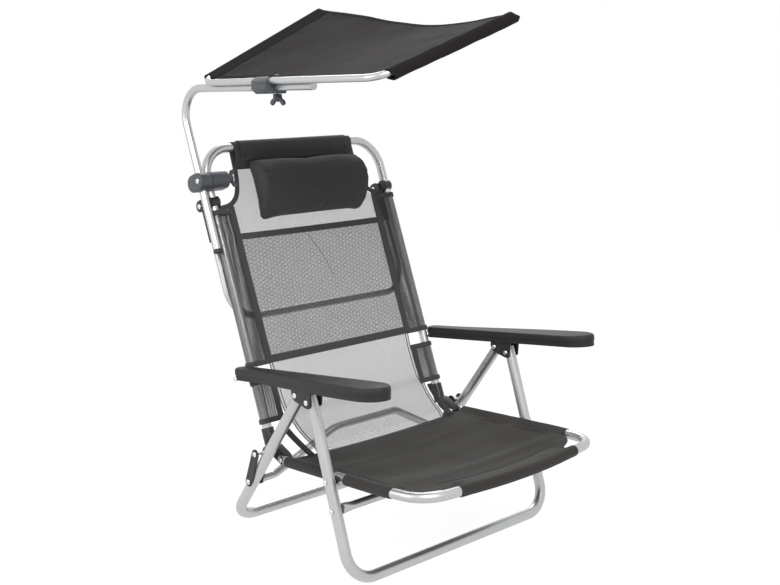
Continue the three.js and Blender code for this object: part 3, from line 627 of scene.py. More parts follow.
# %% [markdown]
# ## Moulded plastic and pressed plates
#
# The brackets, knuckles, links, sockets and clamps are moulded, so none of their edges is sharp. Their
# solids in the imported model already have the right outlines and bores. A copy of each is welded, its
# flat faces are merged, and every hard edge gets a small round with bevel. Drawing each one again
# would give the same outline with more work and more chances to miss a pin.

# %% Rounded copies of the solids
BODY_OF = {node: body for body, held in frame["record"]["behaviour"]["bodies"].items() for node in held}
HARD_EDGE = math.radians(42)
EDGE_ROUND = {
    "offset_type": "OFFSET", "profile": 0.5, "affect": "EDGES", "material": -1, "clamp_overlap": True,
}
# For each kind of node: the name of its piece and the round of its edges
MOULDED = {
    "arm_bracket": ("bracket", 0.9), "seat_spacer": ("spacer", 0.8), "back_knuckle": ("knuckle", 1.2),
    "link_outer": ("outer_link", 0.8), "link_inner": ("inner_link", 0.8), "bow_bracket": ("bow_hinge", 1.2),
    "bow_socket": ("bow_cup", 1.5),
}
CLAMP_HALVES = {
    "clamp_inner": ("inner_clamp", 3), "clamp_outer": ("outer_clamp", 3),
    "shade_jaw_lower": ("lower_jaw", 2.5), "shade_jaw_upper": ("upper_jaw", 2.5),
}


def rounded(node, name, width, material, segments=3):
    """A welded copy of a CAD node with rounded hard edges."""
    bm = bmesh.new()
    bm.from_mesh(frame["nodes"][node].data)
    bmesh.ops.remove_doubles(bm, verts=bm.verts, dist=0.00002)
    bmesh.ops.dissolve_limit(bm, angle_limit=math.radians(2), verts=bm.verts, edges=bm.edges)
    hard = [e for e in bm.edges if len(e.link_faces) == 2 and e.calc_face_angle(0) > HARD_EDGE]
    bmesh.ops.bevel(bm, geom=hard, offset=width * MM, segments=segments, **EDGE_ROUND)
    return new_piece(name, bm, BODY_OF[node], material, node, sharp=50)


for hand in HANDS:
    for kind, (name, width) in MOULDED.items():
        rounded(f"{kind}_{hand}", f"{name}_{hand}", width, black_plastic)
print(2 * len(MOULDED), "moulded pieces")

# %% Clamps
NUT_WIDE, NUT_TALL = 1.35, 1.25
for node, (name, width) in CLAMP_HALVES.items():
    rounded(node, name, width, clamp_plastic, 4)
rounded("clamp_knob", "winged_knob", 1.6, clamp_plastic)
nut = rounded("wing_nut", "winged_nut", 1.3, clamp_plastic)
top = max(vert.co.z for vert in nut.data.vertices)
pin = sum((vert.co for vert in nut.data.vertices), Vector()) / len(nut.data.vertices)
for vert in nut.data.vertices:
    away = vert.co - Vector((pin.x, pin.y, top))
    vert.co = Vector((pin.x + away.x * NUT_WIDE, pin.y + away.y * NUT_WIDE, top + away.z * NUT_TALL))
rounded("post_plug", "post_end_plug", 2.2, black_plastic)
print("clamps and knobs")

# %% [markdown]
# ## Rivets
#
# A rivet is a pin with a low dome pressed on its end. Half of its outline is drawn from the axis out
# and spun once round the pin. Some rivets show one head only, because the other end is set inside a
# tube or a plate.

# %% Rivets
HEAD_R, HEAD_H, PIN_R = 5.4, 2.6, 3
DOME_STEPS = 6
ONE_HEAD = ("arm_pivot_rivet", "cross_bar_rivet", "link_top_rivet", "clamp_bolt")


def dome(x, out):
    """Outline of a head as (radius, x), from the axis to its rim and back to the pin."""
    turns = [math.pi / 2 * k / DOME_STEPS for k in range(DOME_STEPS + 1)]
    points = [(HEAD_R * math.sin(a), x - out * HEAD_H * 0.75 * (1 - math.cos(a))) for a in turns]
    return points + [(HEAD_R, x - out * HEAD_H), (PIN_R, x - out * HEAD_H)]


def spin_profile(bm, points, centre, axis, side, steps=32):
    """Spins an outline of (radius, travel) round an axis through centre. Millimetres."""
    verts = [bm.verts.new(centre + (axis * travel + side * radius) * MM) for radius, travel in points]
    edges = [bm.edges.new(pair) for pair in zip(verts, verts[1:])]
    bmesh.ops.spin(
        bm, geom=verts + edges, cent=centre, axis=axis, angle=math.tau, steps=steps, use_merge=True,
        use_duplicate=False,
    )
    bmesh.ops.remove_doubles(bm, verts=bm.verts, dist=0.00001)
    bmesh.ops.recalc_face_normals(bm, faces=bm.faces)


rivet_nodes = [n for n in frame["nodes"] if "rivet" in n] + ["clamp_bolt"]
for node in rivet_nodes:
    low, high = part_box(node)
    middle = (Vector(low) + Vector(high)) / 2
    outward = 1 if middle.x > 0 else -1
    end = (high[0] - low[0]) / 2 / MM * outward
    points = dome(end, outward)
    points += [(PIN_R, -end), (0, -end)] if node.startswith(ONE_HEAD) else reversed(dome(-end, -outward))
    bm = bmesh.new()
    spin_profile(bm, points, middle, Vector((1, 0, 0)), Vector((0, 0, 1)), 28)
    new_piece(node.replace("rivet", "stud") + "_metal", bm, BODY_OF[node], rivet_metal, node)
print(len(rivet_nodes), "rivets")

# %% Bolt of the upper clamp
BOLT_OUTLINE = [
    (0, -28), (1.6, -28), (2.3, -27.2), (2.3, 18.2), (5, 18.2), (5, 20.2), (4.4, 21.2), (2.6, 21.6),
    (0, 21.6),
]
BOLT_X = 14.5
along_m = Vector((0, BOOM_SLOPE, 1)).normalized()
bm = bmesh.new()
spin_profile(bm, BOLT_OUTLINE, boom(BOOM_CLAMP, BOLT_X), along_m, Vector((1, 0, 0)), 24)
new_piece("clamp_screw", bm, "shade_clamp", black_plastic, "shade_bolt")
print("bolt", BOLT_OUTLINE[-1][1] - BOLT_OUTLINE[0][1], "mm long")

# %% [markdown]
# ## Armrests
#
# Each armrest is a long shell, open below, with a broad round nose and a narrow rear end that takes
# the pivot. A circle gives both ends: its front half is stretched to the nose, its rear half is
# moved back and made small, and the two long edges between them are divided and curved. The outline
# is extruded down, its top rim is bevelled to a soft round, and a step is cut into the skirt, where
# the mould parts.

# %% Armrests
ARM_TOP, ARM_SLOPE = (157, 405), 0.178
ARM_IN, ARM_REAR_X, ARM_FRONT_X = 252, 284, 315
ARM_REAR_Y, ARM_FRONT_Y, ARM_NOSE = 558, 170, 46
ARM_DEPTH, ARM_WALL, ARM_ROUND, ARM_LIP = 24, 3, 5.5, 2.2
SKIRT_STEP, SKIRT_HEIGHT, SKIRT_IN = -13, 1.2, 1.3
ARM_CUTS, LONG_EDGE = 14, 200
OUTER_SIDE, INNER_AIM = ARM_IN + 8, 20


def armrest(name, sign, node):
    bm = bmesh.new()
    front_half, rear_half = (ARM_FRONT_X - ARM_IN) / 2, (ARM_REAR_X - ARM_IN) / 2
    front_end, rear_end = (front_half, ARM_FRONT_Y, ARM_NOSE), (rear_half, ARM_REAR_Y, rear_half)
    for vert in bmesh.ops.create_circle(bm, segments=48, radius=1, cap_ends=True)["verts"]:
        half, y, reach = front_end if vert.co.y < 1e-5 else rear_end
        vert.co = (ARM_IN + half + half * vert.co.x, y + reach * vert.co.y, vert.co.z)
    long_edges = [e for e in bm.edges if abs(e.verts[0].co.y - e.verts[1].co.y) > LONG_EDGE]
    cut = bmesh.ops.subdivide_edges(bm, edges=long_edges, cuts=ARM_CUTS)["geom_inner"]
    for vert in only(cut, bmesh.types.BMVert):
        if vert.co.x > OUTER_SIDE:
            share = blend01((vert.co.y - ARM_FRONT_Y) / (ARM_REAR_Y - ARM_FRONT_Y))
            vert.co.x = ARM_FRONT_X + (ARM_REAR_X - ARM_FRONT_X) * share
    made = bmesh.ops.extrude_face_region(bm, geom=bm.faces[:])["geom"]
    bmesh.ops.translate(bm, verts=only(made, bmesh.types.BMVert), vec=(0, 0, -ARM_DEPTH))
    rims = [e for e in bm.edges if all(abs(v.co.z) < 1e-4 for v in e.verts)]
    bmesh.ops.bevel(bm, geom=rims, offset=ARM_ROUND, segments=6, **EDGE_ROUND)
    for height in (SKIRT_STEP, SKIRT_STEP - SKIRT_HEIGHT):
        bmesh.ops.bisect_plane(
            bm, geom=bm.verts[:] + bm.edges[:] + bm.faces[:], plane_co=(0, 0, height), plane_no=(0, 0, 1),
        )
    # The skirt below the step is drawn in towards the middle of the shell
    for vert in bm.verts:
        if vert.co.z < SKIRT_STEP - 1:
            middle = Vector((ARM_IN + front_half, min(max(vert.co.y, ARM_FRONT_Y), ARM_REAR_Y), vert.co.z))
            if ARM_FRONT_Y < vert.co.y < ARM_REAR_Y:
                middle.x = (ARM_IN + vert.co.x) / 2 if vert.co.x > OUTER_SIDE else vert.co.x + INNER_AIM
            elif vert.co.y >= ARM_REAR_Y:
                middle.x = ARM_IN + rear_half
            vert.co += (middle - vert.co).normalized() * SKIRT_IN
    under = [f for f in bm.faces if all(abs(v.co.z + ARM_DEPTH) < 1e-3 for v in f.verts)]
    bmesh.ops.recalc_face_normals(bm, faces=bm.faces)
    bmesh.ops.inset_region(bm, faces=under, thickness=ARM_LIP, use_even_offset=True)
    hollow = bmesh.ops.extrude_face_region(bm, geom=under)["geom"]
    bmesh.ops.delete(bm, geom=[f for f in under if f.is_valid], context="FACES_ONLY")
    bmesh.ops.translate(bm, verts=only(hollow, bmesh.types.BMVert), vec=(0, 0, ARM_DEPTH - ARM_WALL))
    tilt = Matrix.Rotation(-math.atan(ARM_SLOPE), 4, "X")
    place = Matrix.Translation((0, *ARM_TOP)) @ tilt @ Matrix.Translation((0, -ARM_TOP[0], 0))
    bmesh.ops.transform(bm, matrix=place, verts=bm.verts)
    for vert in bm.verts:
        vert.co = spot(sign * vert.co.x, vert.co.y, vert.co.z)
    bmesh.ops.recalc_face_normals(bm, faces=bm.faces)
    return new_piece(name, bm, node, grey_plastic, node, sharp=28)


for hand, sign in HANDS.items():
    piece = armrest(f"arm_shell_{hand}", sign, f"armrest_{hand}")
    print(piece.name, len(piece.data.polygons), "faces")

# %% [markdown]
# ## Cloth
#
# Every strip of cloth on this chair is a grid that is bent into place, with a UV map in metres, so
# that its weave keeps one scale, and a thin wall from a Solidify modifier. One helper does this. It
# takes a function that says where a point of the flat cloth ends up: u runs across and v runs along.
# A cloth simulation would let the stretched panels find their own sag, but they are pulled tight
# between tubes, so a shallow curve with drawn creases is closer to the picture and much quicker.

# %% Cloth helper
def declare(flat, rests_on):
    """Takes a sheet's cut and the pieces that it rests on, and does nothing with them.

    The area that cloth stores is that of the piece's own bent grid, not worked out from the cut."""
    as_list(rests_on)


def cloth(
    name, place, grid, flat, body, material, held="", rests_on=(), nodes=(), wall=1.0, ring=False, soft=0,
):
    """A grid bent by place(u, v). flat is (width, length) in metres, wall the thickness in mm.

    A piece with held is passed to declare, which does nothing with it. ring joins its two edges, soft
    subdivides it."""
    bm = bmesh.new()
    bmesh.ops.create_grid(bm, x_segments=grid[0], y_segments=grid[1], size=1)
    uv = bm.loops.layers.uv.new("flat_cloth")
    for face in bm.faces:
        for loop in face.loops:
            u, v = loop.vert.co.x / 2 + 0.5, loop.vert.co.y / 2 + 0.5
            loop[uv].uv = (u * flat[0], v * flat[1])
    for vert in bm.verts:
        vert.co = place(vert.co.x / 2 + 0.5, vert.co.y / 2 + 0.5)
    if ring:
        bmesh.ops.remove_doubles(bm, verts=bm.verts, dist=0.00001)
    bmesh.ops.recalc_face_normals(bm, faces=bm.faces)
    area = sum(face.calc_area() for face in bm.faces)
    piece = new_piece(name, bm, body, material, *nodes, sharp=60)
    skin = piece.modifiers.new("wall", "SOLIDIFY")
    skin.thickness = wall * MM
    skin.offset = 0
    if soft:
        smooth = piece.modifiers.new("soft", "SUBSURF")
        smooth.levels = smooth.render_levels = soft
    piece["area"] = area
    if held:
        declare(flat, rests_on)
    return piece


print("a piece of cloth has half of its wall on each side of its grid")

# %% Noise, and a loop of cloth round a tube
def wave_noise(x, y, scale, seed=0.0):
    """Smooth noise from -1 to 1 over a place in millimetres."""
    return noise.noise(Vector((x / scale, y / scale, seed)))


def drop_parts(radius, reach):
    """Where a loop of cloth leaves its tube, as an angle, its straight length and half of its girth."""
    touch = math.acos(radius / reach)
    straight = math.sqrt(reach * reach - radius * radius)
    return touch, straight, straight + radius * (math.pi - touch)


def drop_girth(radius, reach):
    return 2 * drop_parts(radius, reach)[2] * MM


def drop_section(radius, reach, u):
    """A loop of cloth round a tube and sewn to itself at reach from its centre.

    Gives (inward, up) in millimetres; u runs once round, from the seam over the top."""
    touch, straight, half = drop_parts(radius, reach)
    side, t = (1, u * 2) if u < 0.5 else (-1, (1 - u) * 2)
    run = t * half
    if run < straight:
        k = run / straight
        return reach + (radius * math.cos(touch) - reach) * k, side * radius * math.sin(touch) * k
    a = touch + (run - straight) / radius
    return radius * math.cos(a), side * radius * math.sin(a)


print("girth of a sleeve on a seat rail", round(drop_girth(RAIL_R, 30) * 1000), "mm")

# %% Bead helper
BEAD_SIDES = 8
BEAD_TURNS = [2 * math.pi * j / BEAD_SIDES for j in range(BEAD_SIDES)]


def skin_rings(bm, rings, closed=False):
    """Joins rings of vertices by faces and caps the two ends of an open row."""
    for a, b in zip(rings, rings[1:] + rings[:1] if closed else rings[1:]):
        for j in range(len(a)):
            k = (j + 1) % len(a)
            bm.faces.new((a[j], a[k], b[k], b[j]))
    if not closed:
        bm.faces.new(rings[0][::-1])
        bm.faces.new(rings[-1])
    bmesh.ops.recalc_face_normals(bm, faces=bm.faces)


def bead(name, points, radius, body, material, closed=False):
    """A thin round line through points: a cord, a piping or a row of stitches. Radius in millimetres."""
    bm = bmesh.new()
    count = len(points)
    side = (points[1] - points[0]).orthogonal().normalized()
    rings = []
    for k, point in enumerate(points):
        before = points[k - 1] if k or closed else point
        after = points[(k + 1) % count] if k + 1 < count or closed else point
        heading = (after - before).normalized()
        side = (side - heading * side.dot(heading)).normalized()
        up = heading.cross(side)
        ring = [point + (side * math.cos(a) + up * math.sin(a)) * radius * MM for a in BEAD_TURNS]
        rings.append([bm.verts.new(place) for place in ring])
    skin_rings(bm, rings, closed)
    return new_piece(name, bm, body, material, sharp=80)


print("beads are round lines of", BEAD_SIDES, "sides")

# %% [markdown]
# ### Seat sling
#
# The seat is one panel of close-woven cloth. Its sides are folded into sleeves that slide over the
# rails, its front edge into a sleeve on the bowed nose, and the two front corners are cut away so
# that the tube shows. Nobody sits in it, so it sags only a little, and broad soft folds run across
# from rail to rail, strongest where the sleeves pull. The panel and its sleeves are separate grids
# that meet at the sewn line, as in the workshop.

# %% Seat panel
CLOTH = 1.2
SLEEVE = RAIL_R + 0.4 + CLOTH / 2
SLEEVE_REACH = 31
SLING_REAR, SLING_SIDE, SLING_SAG = 430, RAIL_X - 12, 17
NOSE_HALF = 162
CUT_ROUND, CUT_ROUND_Y = 66, 131
NOSE_SLOPE = (NOSE_CORNER[1] - NOSE_Y) / NOSE_CORNER[0]


def nose_y(x):
    return NOSE_Y + NOSE_SLOPE * math.hypot(x, 22) - NOSE_SLOPE * 8


def sling_half(y):
    if y > CUT_ROUND_Y:
        return SLING_SIDE
    out = CUT_ROUND * CUT_ROUND - (CUT_ROUND_Y - y) ** 2
    return max(NOSE_HALF + 4, SLING_SIDE - CUT_ROUND + math.sqrt(max(out, 0)))


def folds(x, y):
    """Height of the soft folds that run across the seat, with two ridges."""
    drift = x * 0.10 + 14 * wave_noise(x, y, 190, 3.1)
    broad = math.sin((y + drift) / 19.5) * 1.9
    fine = math.sin((y - drift * 0.6) / 8.2 + 1.7) * 0.6 * (0.5 + wave_noise(x, y, 90, 1.4))
    ridge = 3.4 * math.exp(-((y - 158 + x * 0.04) / 15) ** 2)
    ridge += 2.8 * math.exp(-((y - 338 - x * 0.05) / 14) ** 2)
    return broad * (0.65 + 0.5 * wave_noise(x, y, 130, 7.7)) + fine + ridge


def sling_height(x, y):
    side = x / RAIL_X
    edge = max(1 - side * side, 0)
    length = (SLING_REAR - y) / (SLING_REAR - NOSE_Y)
    ends = math.sin(math.pi * min(max(length, 0) * 1.05, 1))
    sag = SLING_SAG * edge * (0.42 + 0.58 * ends)
    return 3.5 - sag + folds(x, y) * min(edge * 1.7, 1) * (0.25 + 0.75 * ends)


def panel_height(x, y, v):
    """Height of the panel over the rails; near the nose it tucks in below the nose sleeve."""
    tuck = blend01((v - 0.86) / 0.06)
    return sling_height(x, y) * (1 - tuck) - tuck * 1.5


def sling_place(u, v):
    x = (2 * u - 1) * sling_half(SLING_REAR + (NOSE_Y - SLING_REAR) * v)
    y = SLING_REAR + (nose_y(x) + 6 - SLING_REAR) * v
    return rail(x, y, panel_height(x, y, v))


seat_flat = (0.486, 0.405)
seat_sheet = cloth(
    "sling_panel", sling_place, (72, 72), seat_flat, "seat", sling_cloth, "stretched", ["seat_tube"],
    ("seat_sling",), wall=CLOTH, soft=1,
)
print("seat panel", round(seat_sheet["area"], 3), "square metres")

# %% Sleeves on the rails
ON_SEAT = {
    "body": "seat", "material": sling_cloth, "held": "folded", "rests_on": ["seat_tube", "sling_panel"],
}
NOTCH = (SEAT_PIVOT_Y - 15, SEAT_PIVOT_Y + 15)
SLEEVE_FRONT, NOTCH_SHARE, SLEEVE_DROP = 138, 0.40, 0.10
RAIL_RUNS = {"rear": (SLING_REAR, NOTCH[1]), "front": (NOTCH[0], SLEEVE_FRONT)}
SEAT_RAILS = [(hand, sign, run, ends) for hand, sign in HANDS.items() for run, ends in RAIL_RUNS.items()]


def rail_centre(sign, y):
    x = RAIL_X if y > RAIL_BEND_Y else RAIL_X - (RAIL_BEND_Y - y) * 0.085
    return rail(sign * x, y)


def rail_sleeve(sign, y_from, y_to, share=1.0, puckered=1):
    """A sleeve along a rail, or only the first share of its girth."""
    def place(u, v):
        y = y_from + (y_to - y_from) * v
        inward, up = drop_section(SLEEVE, SLEEVE_REACH, share * u)
        pucker = 1 + puckered * 0.05 * math.sin(y / 6.5 + u * 9) * wave_noise(y, u * 40, 30, 5.0)
        height = up * pucker - SLEEVE_DROP * max(inward, 0)
        return rail_centre(sign, y) + Vector((-sign * inward, 0, height)) * MM
    return place, (drop_girth(SLEEVE, SLEEVE_REACH) * share, abs(y_to - y_from) * MM)


for hand, sign, run, (y_rear, y_front) in SEAT_RAILS:
    place, flat = rail_sleeve(sign, y_rear, y_front)
    grid = (40, max(6, round((y_rear - y_front) / 7)))
    cloth(f"{run}_rail_sleeve_{hand}", place, grid, flat, wall=CLOTH, ring=True, soft=1, **ON_SEAT)
# The inner half of the left sleeve runs on past the seat pivot
place, flat = rail_sleeve(1, NOTCH[0] - 1, NOTCH[1] + 1, NOTCH_SHARE, 0)
cloth("notch_cloth", place, (20, 8), flat, wall=CLOTH, soft=1, **ON_SEAT)
print("four side sleeves and a patch")

# %% Nose sleeve
NOSE_REACH, NOSE_HUG, NOSE_TRIM, NOSE_RISE = 47, 30, 0.8, 2.0
nose_angle = math.atan(NOSE_SLOPE)
bend_from = NOSE_ROUND * math.sin(nose_angle)
nose_low = NOSE_Y + NOSE_ROUND * (1 / math.cos(nose_angle) - 1)


def nose_line(x):
    """y of the tube's centre along the bowed nose."""
    if abs(x) < bend_from:
        return nose_low + NOSE_ROUND - math.sqrt(NOSE_ROUND * NOSE_ROUND - x * x)
    return NOSE_Y + abs(x) * NOSE_SLOPE


def nose_place(u, v, trim=NOSE_TRIM):
    """The sleeve over the nose. At its ends it is cut shorter, hugs the tube and lies on the panel."""
    x = (2 * v - 1) * NOSE_HALF
    y = nose_line(x)
    inward, up = drop_section(SLEEVE, NOSE_REACH, u)
    turn = math.sin(nose_angle) * min(abs(x) / bend_from, 1)
    inner_side = Vector((-math.copysign(turn, x), 1, 0)).normalized()
    pucker = 1 + 0.04 * math.sin(x / 7.0 + u * 8) * wave_noise(x, u * 40, 34, 2.0)
    rise = (sling_height(x, y + inward) + NOSE_RISE) * blend01(inward / NOSE_REACH)
    height = up * pucker + (rise + 1.2 * wave_noise(x, inward, 44, 3.0) * (inward > 8))
    if inward > 0:
        end = blend01((abs(x) - NOSE_HALF + NOSE_HUG) / NOSE_HUG)
        inward = min(inward, SLEEVE) + max(inward - SLEEVE, 0) * (1 - trim * end)
        face = math.copysign(1, up)
        v_panel = (SLING_REAR - y - inward) / (SLING_REAR - nose_y(x) - 6)
        lie = panel_height(x, y + inward, v_panel) + 1.4 * face
        hug = face * math.sqrt(max(SLEEVE * SLEEVE - inward * inward, 0)) + lie * min(inward / SLEEVE, 1)
        height += (hug - height) * end
    return rail(x, y) + inner_side * inward * MM + Vector((0, 0, height)) * MM


nose_flat = (drop_girth(SLEEVE, NOSE_REACH), 2 * NOSE_HALF * MM * 1.01)
cloth("nose_sleeve", nose_place, (40, 60), nose_flat, wall=CLOTH, ring=True, soft=1, **ON_SEAT)
print("nose sleeve", round(nose_flat[1] * 1000), "mm long")

# %% Sewn lines of the seat
SEAM_IN, SEAM_STEPS = SLEEVE_REACH - 1.5, 40


def sewn(name, points, lift=1.1):
    """A sunk sewn line: a thin bead that stands a little proud of the cloth. Its dark colour is the thread
    together with painted shade of the sunk groove.
    """
    # Painted shade: the bead takes the near-black strap colour, both for dark thread and for the shade in the
    # sunk groove
    bead(name, [point + Vector((0, 0, lift)) * MM for point in points], 0.55, "seat", strap_web)


# The line runs on past both ends of the sleeve, over the panel
sewn("nose_seam", [nose_place(0.0, v / 80, trim=0) for v in range(-3, 84)], 1.2)
for hand, sign, run, (y_rear, y_front) in SEAT_RAILS:
    inner = [y_rear + (y_front - y_rear) * k / SEAM_STEPS for k in range(SEAM_STEPS + 1)]
    beside = Vector((-sign * SEAM_IN, 0, 0.6)) * MM
    sewn(f"rail_seam_{run}_{hand}", [rail_centre(sign, y) + beside for y in inner])
print("sewn lines")

# %% [markdown]
# ### Net back
#
# The back is an open net, so the white background and the tubes behind it show through. It is one
# layer at the top and at the bottom. Between two dark tapes it has a second layer behind it, which
# makes a pocket and looks darker. Along both sides the net runs into dark sleeves over the tubes,
# with a tape on their inner edge. The top corners are cut away in a curve and bound with tape, and a
# band of close cloth loops over the top bar.

# %% Shape of the net
NET_HIGH, NET_HEM_HIGH, NET_HEM_LOW, NET_KNEE, NET_LOW = 736, 570, 337, 226, 172
NET_WALL, BACK_SAG = 0.35, 9
POCKET_HALF, POCKET_BACK = 196, 3.2
EDGE_LINE = [
    (217, 192), (300, 196), (330, 196), (560, 200), (596, 201), (612, 199), (623, 192), (633, 181),
    (645, 172), (660, 166), (680, 163), (736, 161),
]


def from_table(table, key):
    """A value read off a table of (key, value), with straight lines between its rows."""
    for (a, low), (b, high) in zip(table, table[1:]):
        if key <= b:
            t = max((key - a) / (b - a), 0)
            return low + (high - low) * t
    return table[-1][1]


def back_belly(x, s):
    side = x / BACK_X
    return BACK_SAG * max(1 - side * side, 0) * math.sin(math.pi * min(max(s / BACK_TOP, 0), 1))


def ripples(x, s):
    return 0.8 * wave_noise(x + s * 0.5, s, 70, 9.0) + 0.5 * wave_noise(x - s * 0.8, s, 34, 4.0)


def net_at(x, z, out=0.0):
    """The point of the net at height z, or a place out behind it."""
    s = s_at(z)
    return back(x, s, back_belly(x, s) + ripples(x, s) + out)


def net_place(z_low, z_high, half_of, out=0.0):
    def place(u, v):
        z = z_low + (z_high - z_low) * v
        return net_at((2 * u - 1) * half_of(z), z, out)
    return place


upper_flat = (0.402, (s_at(NET_HIGH) - s_at(NET_HEM_LOW)) * MM)
upper_place = net_place(NET_HEM_LOW, NET_HIGH, lambda z: from_table(EDGE_LINE, z))
cloth(
    "net_upper", upper_place, (48, 60), upper_flat, "backrest", net, "stretched", ["back_tube"],
    ("backrest_net",), wall=NET_WALL,
)
pocket_flat = (0.402, (s_at(NET_HEM_HIGH) - s_at(NET_HEM_LOW)) * MM)
pocket_place = net_place(NET_HEM_LOW, NET_HEM_HIGH, lambda z: POCKET_HALF, POCKET_BACK)
cloth(
    "net_pocket", pocket_place, (40, 32), pocket_flat, "backrest", pocket_net, "stretched", ["net_upper"],
    wall=NET_WALL,
)
print("net", [round(v, 3) for v in upper_flat], "pocket", [round(v, 3) for v in pocket_flat])

# %% Lower net, which turns forward into the seat
KNEE = [
    (172, -75.0), (180, -56.0), (190, -39.0), (203, -24.0), (217, -13.5), (236, -6.0), (262, -1.5),
    (300, 0.0), (337, 0.0),
]
LOWER_HALF = [(172, 178), (180, 181), (200, 187), (226, 191), (262, 193), (300, 193), (337, 196)]
TIE_CLEAR, TIE_ABOVE, CLEAR_FORWARD, CLEAR_UP = 8, 244, 0.5, 0.86


def over_the_tie(z):
    """1 where the net passes over the tie bar, 0 at the seat and on the backrest."""
    return blend01((z - NET_LOW) / 9) * blend01((TIE_ABOVE - z) / 26)


def lower_point(x, z):
    """A point of the lower net: it leaves the frame's plane and turns forward to the seat."""
    s = s_at(max(z, NET_KNEE))
    y, _ = lean(s_at(z))
    share = blend01((z - NET_LOW) / 90)
    belly = (back_belly(x, s) + ripples(x, s)) * share
    dip = (1 - share) * (sling_height(x, SLING_REAR) - 3)
    clear = TIE_CLEAR * over_the_tie(z)
    y += from_table(KNEE, z)
    return spot(x, y + belly * UP_Z - CLEAR_FORWARD * clear, z + dip - belly * UP_Y + CLEAR_UP * clear)


def lower_place(u, v):
    z = NET_LOW + (NET_HEM_LOW - NET_LOW) * v
    return lower_point((2 * u - 1) * from_table(LOWER_HALF, z), z)


def across_the_fold(piece):
    """Bakes the piece's place into its mesh. The piece rides on no body, so it does not follow the seat or the
    backrest.
    """
    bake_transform(piece)


lower_flat = (0.392, 0.215)
lower = cloth(
    "net_lower", lower_place, (40, 40), lower_flat, None, net, nodes=("crease_strip",), wall=NET_WALL,
)
across_the_fold(lower)
declare(lower_flat, ["net_upper", "sling_panel"])
print("lower net", [round(v, 3) for v in lower_flat])

# %% Dark sleeves over the side tubes
NET_SLEEVE = BACK_R + 1.4
NET_REACH = 45
SLEEVE_RUNS = {"high": (327, 622), "low": (222, 303)}
BACK_SLEEVES = [(hand, sign, run, ends) for hand, sign in HANDS.items() for run, ends in SLEEVE_RUNS.items()]


def back_sleeve_place(sign, z_low, z_high):
    def place(u, v):
        s = s_at(z_low + (z_high - z_low) * v)
        inward, up = drop_section(NET_SLEEVE, NET_REACH, u)
        slack = 1.1 * wave_noise(s, u * 50, 26, sign * 3.0) * min(max(inward - 4, 0) / 20, 1)
        x = sign * (BACK_X - inward)
        return back(x, s, -up + slack + back_belly(x, s) * min(max(inward, 0) / NET_REACH, 1))
    return place


for hand, sign, run, (z_low, z_high) in BACK_SLEEVES:
    length = s_at(z_high) - s_at(z_low)
    cloth(
        f"net_sleeve_{run}_{hand}", back_sleeve_place(sign, z_low, z_high), (48, max(10, round(length / 8))),
        (drop_girth(NET_SLEEVE, NET_REACH), length * MM), "backrest", sleeve_net, "folded",
        ["back_tube", "net_upper"], wall=0.5, ring=True,
    )
print("four net sleeves")

# %% [markdown]
# ### Tapes
#
# A tape is a flat strip of woven binding, folded over an edge and stitched. Here it is a narrow grid
# that follows a line on the net, a little in front of it, with a wall thick enough to read as a
# folded strip. The line may be straight, as on the pocket's hems, or curved, as round the cut-away
# corners.

# %% Tape helper
FRONT = Vector((0, -UP_Z, UP_Y))
UP_THE_BACK = Vector((0, UP_Y, UP_Z))
SIDEWAYS = Vector((1, 0, 0))
LEAST_WIDTH, TAPE_CROWN, EDGE_SHARE = 0.0101, 0.35, 0.35


def tape(
    name, line, width, lift, body="backrest", material=binding, wall=1.8, count=60,
):
    """A strip along line(v), which gives (point, sideways, normal). Millimetres for width and lift.

    Its area is that of the bent grid, at most width times length."""
    spots = [line(k / count)[0] for k in range(count + 1)]
    length = sum((b - a).length for a, b in zip(spots, spots[1:]))

    def place(u, v):
        point, sideways, normal = line(v)
        crown = TAPE_CROWN * (1 - (2 * u - 1) ** 2)
        return point + sideways * (u - 0.5) * width * MM + normal * (lift + crown) * MM

    piece = cloth(name, place, (4, count), (width * MM, length), body, material, wall=wall)
    round_edges = piece.modifiers.new("folded_edge", "BEVEL")
    round_edges.width = wall * EDGE_SHARE * MM
    round_edges.segments = 2
    return piece


def across(z, half):
    return lambda v: (net_at((2 * v - 1) * half, z), UP_THE_BACK, FRONT)


def up_side(sign, z_low, z_high, x_low, x_high):
    def line(v):
        x, z = sign * (x_low + (x_high - x_low) * v), z_low + (z_high - z_low) * v
        return net_at(x, z), sign * SIDEWAYS, FRONT
    return line


def round_sleeve(sign, z):
    """A line round a side sleeve."""
    def line(v):
        inward, up = drop_section(NET_SLEEVE + 0.8, NET_REACH, v)
        x, s = sign * (BACK_X - inward), s_at(z)
        normal = FRONT
        if up or inward < 0:
            normal = (FRONT * up - sign * inward * SIDEWAYS * (inward < 0)).normalized()
        return back(x, s, -up + back_belly(x, s) * min(max(inward, 0) / NET_REACH, 1)), UP_THE_BACK, normal
    return line


tape("pocket_hem_high", across(569, 192), 13, 1.6)
tape("pocket_hem_low", across(NET_HEM_LOW - 2, 196), 16, 1.6)
for hand, sign in HANDS.items():
    tape(f"side_tape_high_{hand}", up_side(sign, 329, 628, 194, 197), 17, 2.0)
    tape(f"side_tape_low_{hand}", up_side(sign, 222, 303, 199, 200), 13, 2.0, count=20)
    for run, (z_low, z_high) in SLEEVE_RUNS.items():
        for end, z in (("foot", z_low + 5), ("head", z_high - 5)):
            tape(f"sleeve_hem_{run}_{end}_{hand}", round_sleeve(sign, z), 10, 0.9, wall=1.2, count=44)
print("tapes on the net")

# %% Tape round the cut-away corners
CORNER_EDGE = [
    (736, 162), (710, 162.5), (690, 163.5), (672, 166), (657, 170), (645, 176.5), (636, 186), (630, 198),
    (627, 213), (626, 229),
]


def curve(p, f):
    """A point of the smooth line through four points, at share f from the second to the third."""
    return 0.5 * (
        2 * p[1] + (p[2] - p[0]) * f + (2 * p[0] - 5 * p[1] + 4 * p[2] - p[3]) * f * f
        + (3 * p[1] - p[0] - 3 * p[2] + p[3]) * f ** 3
    )


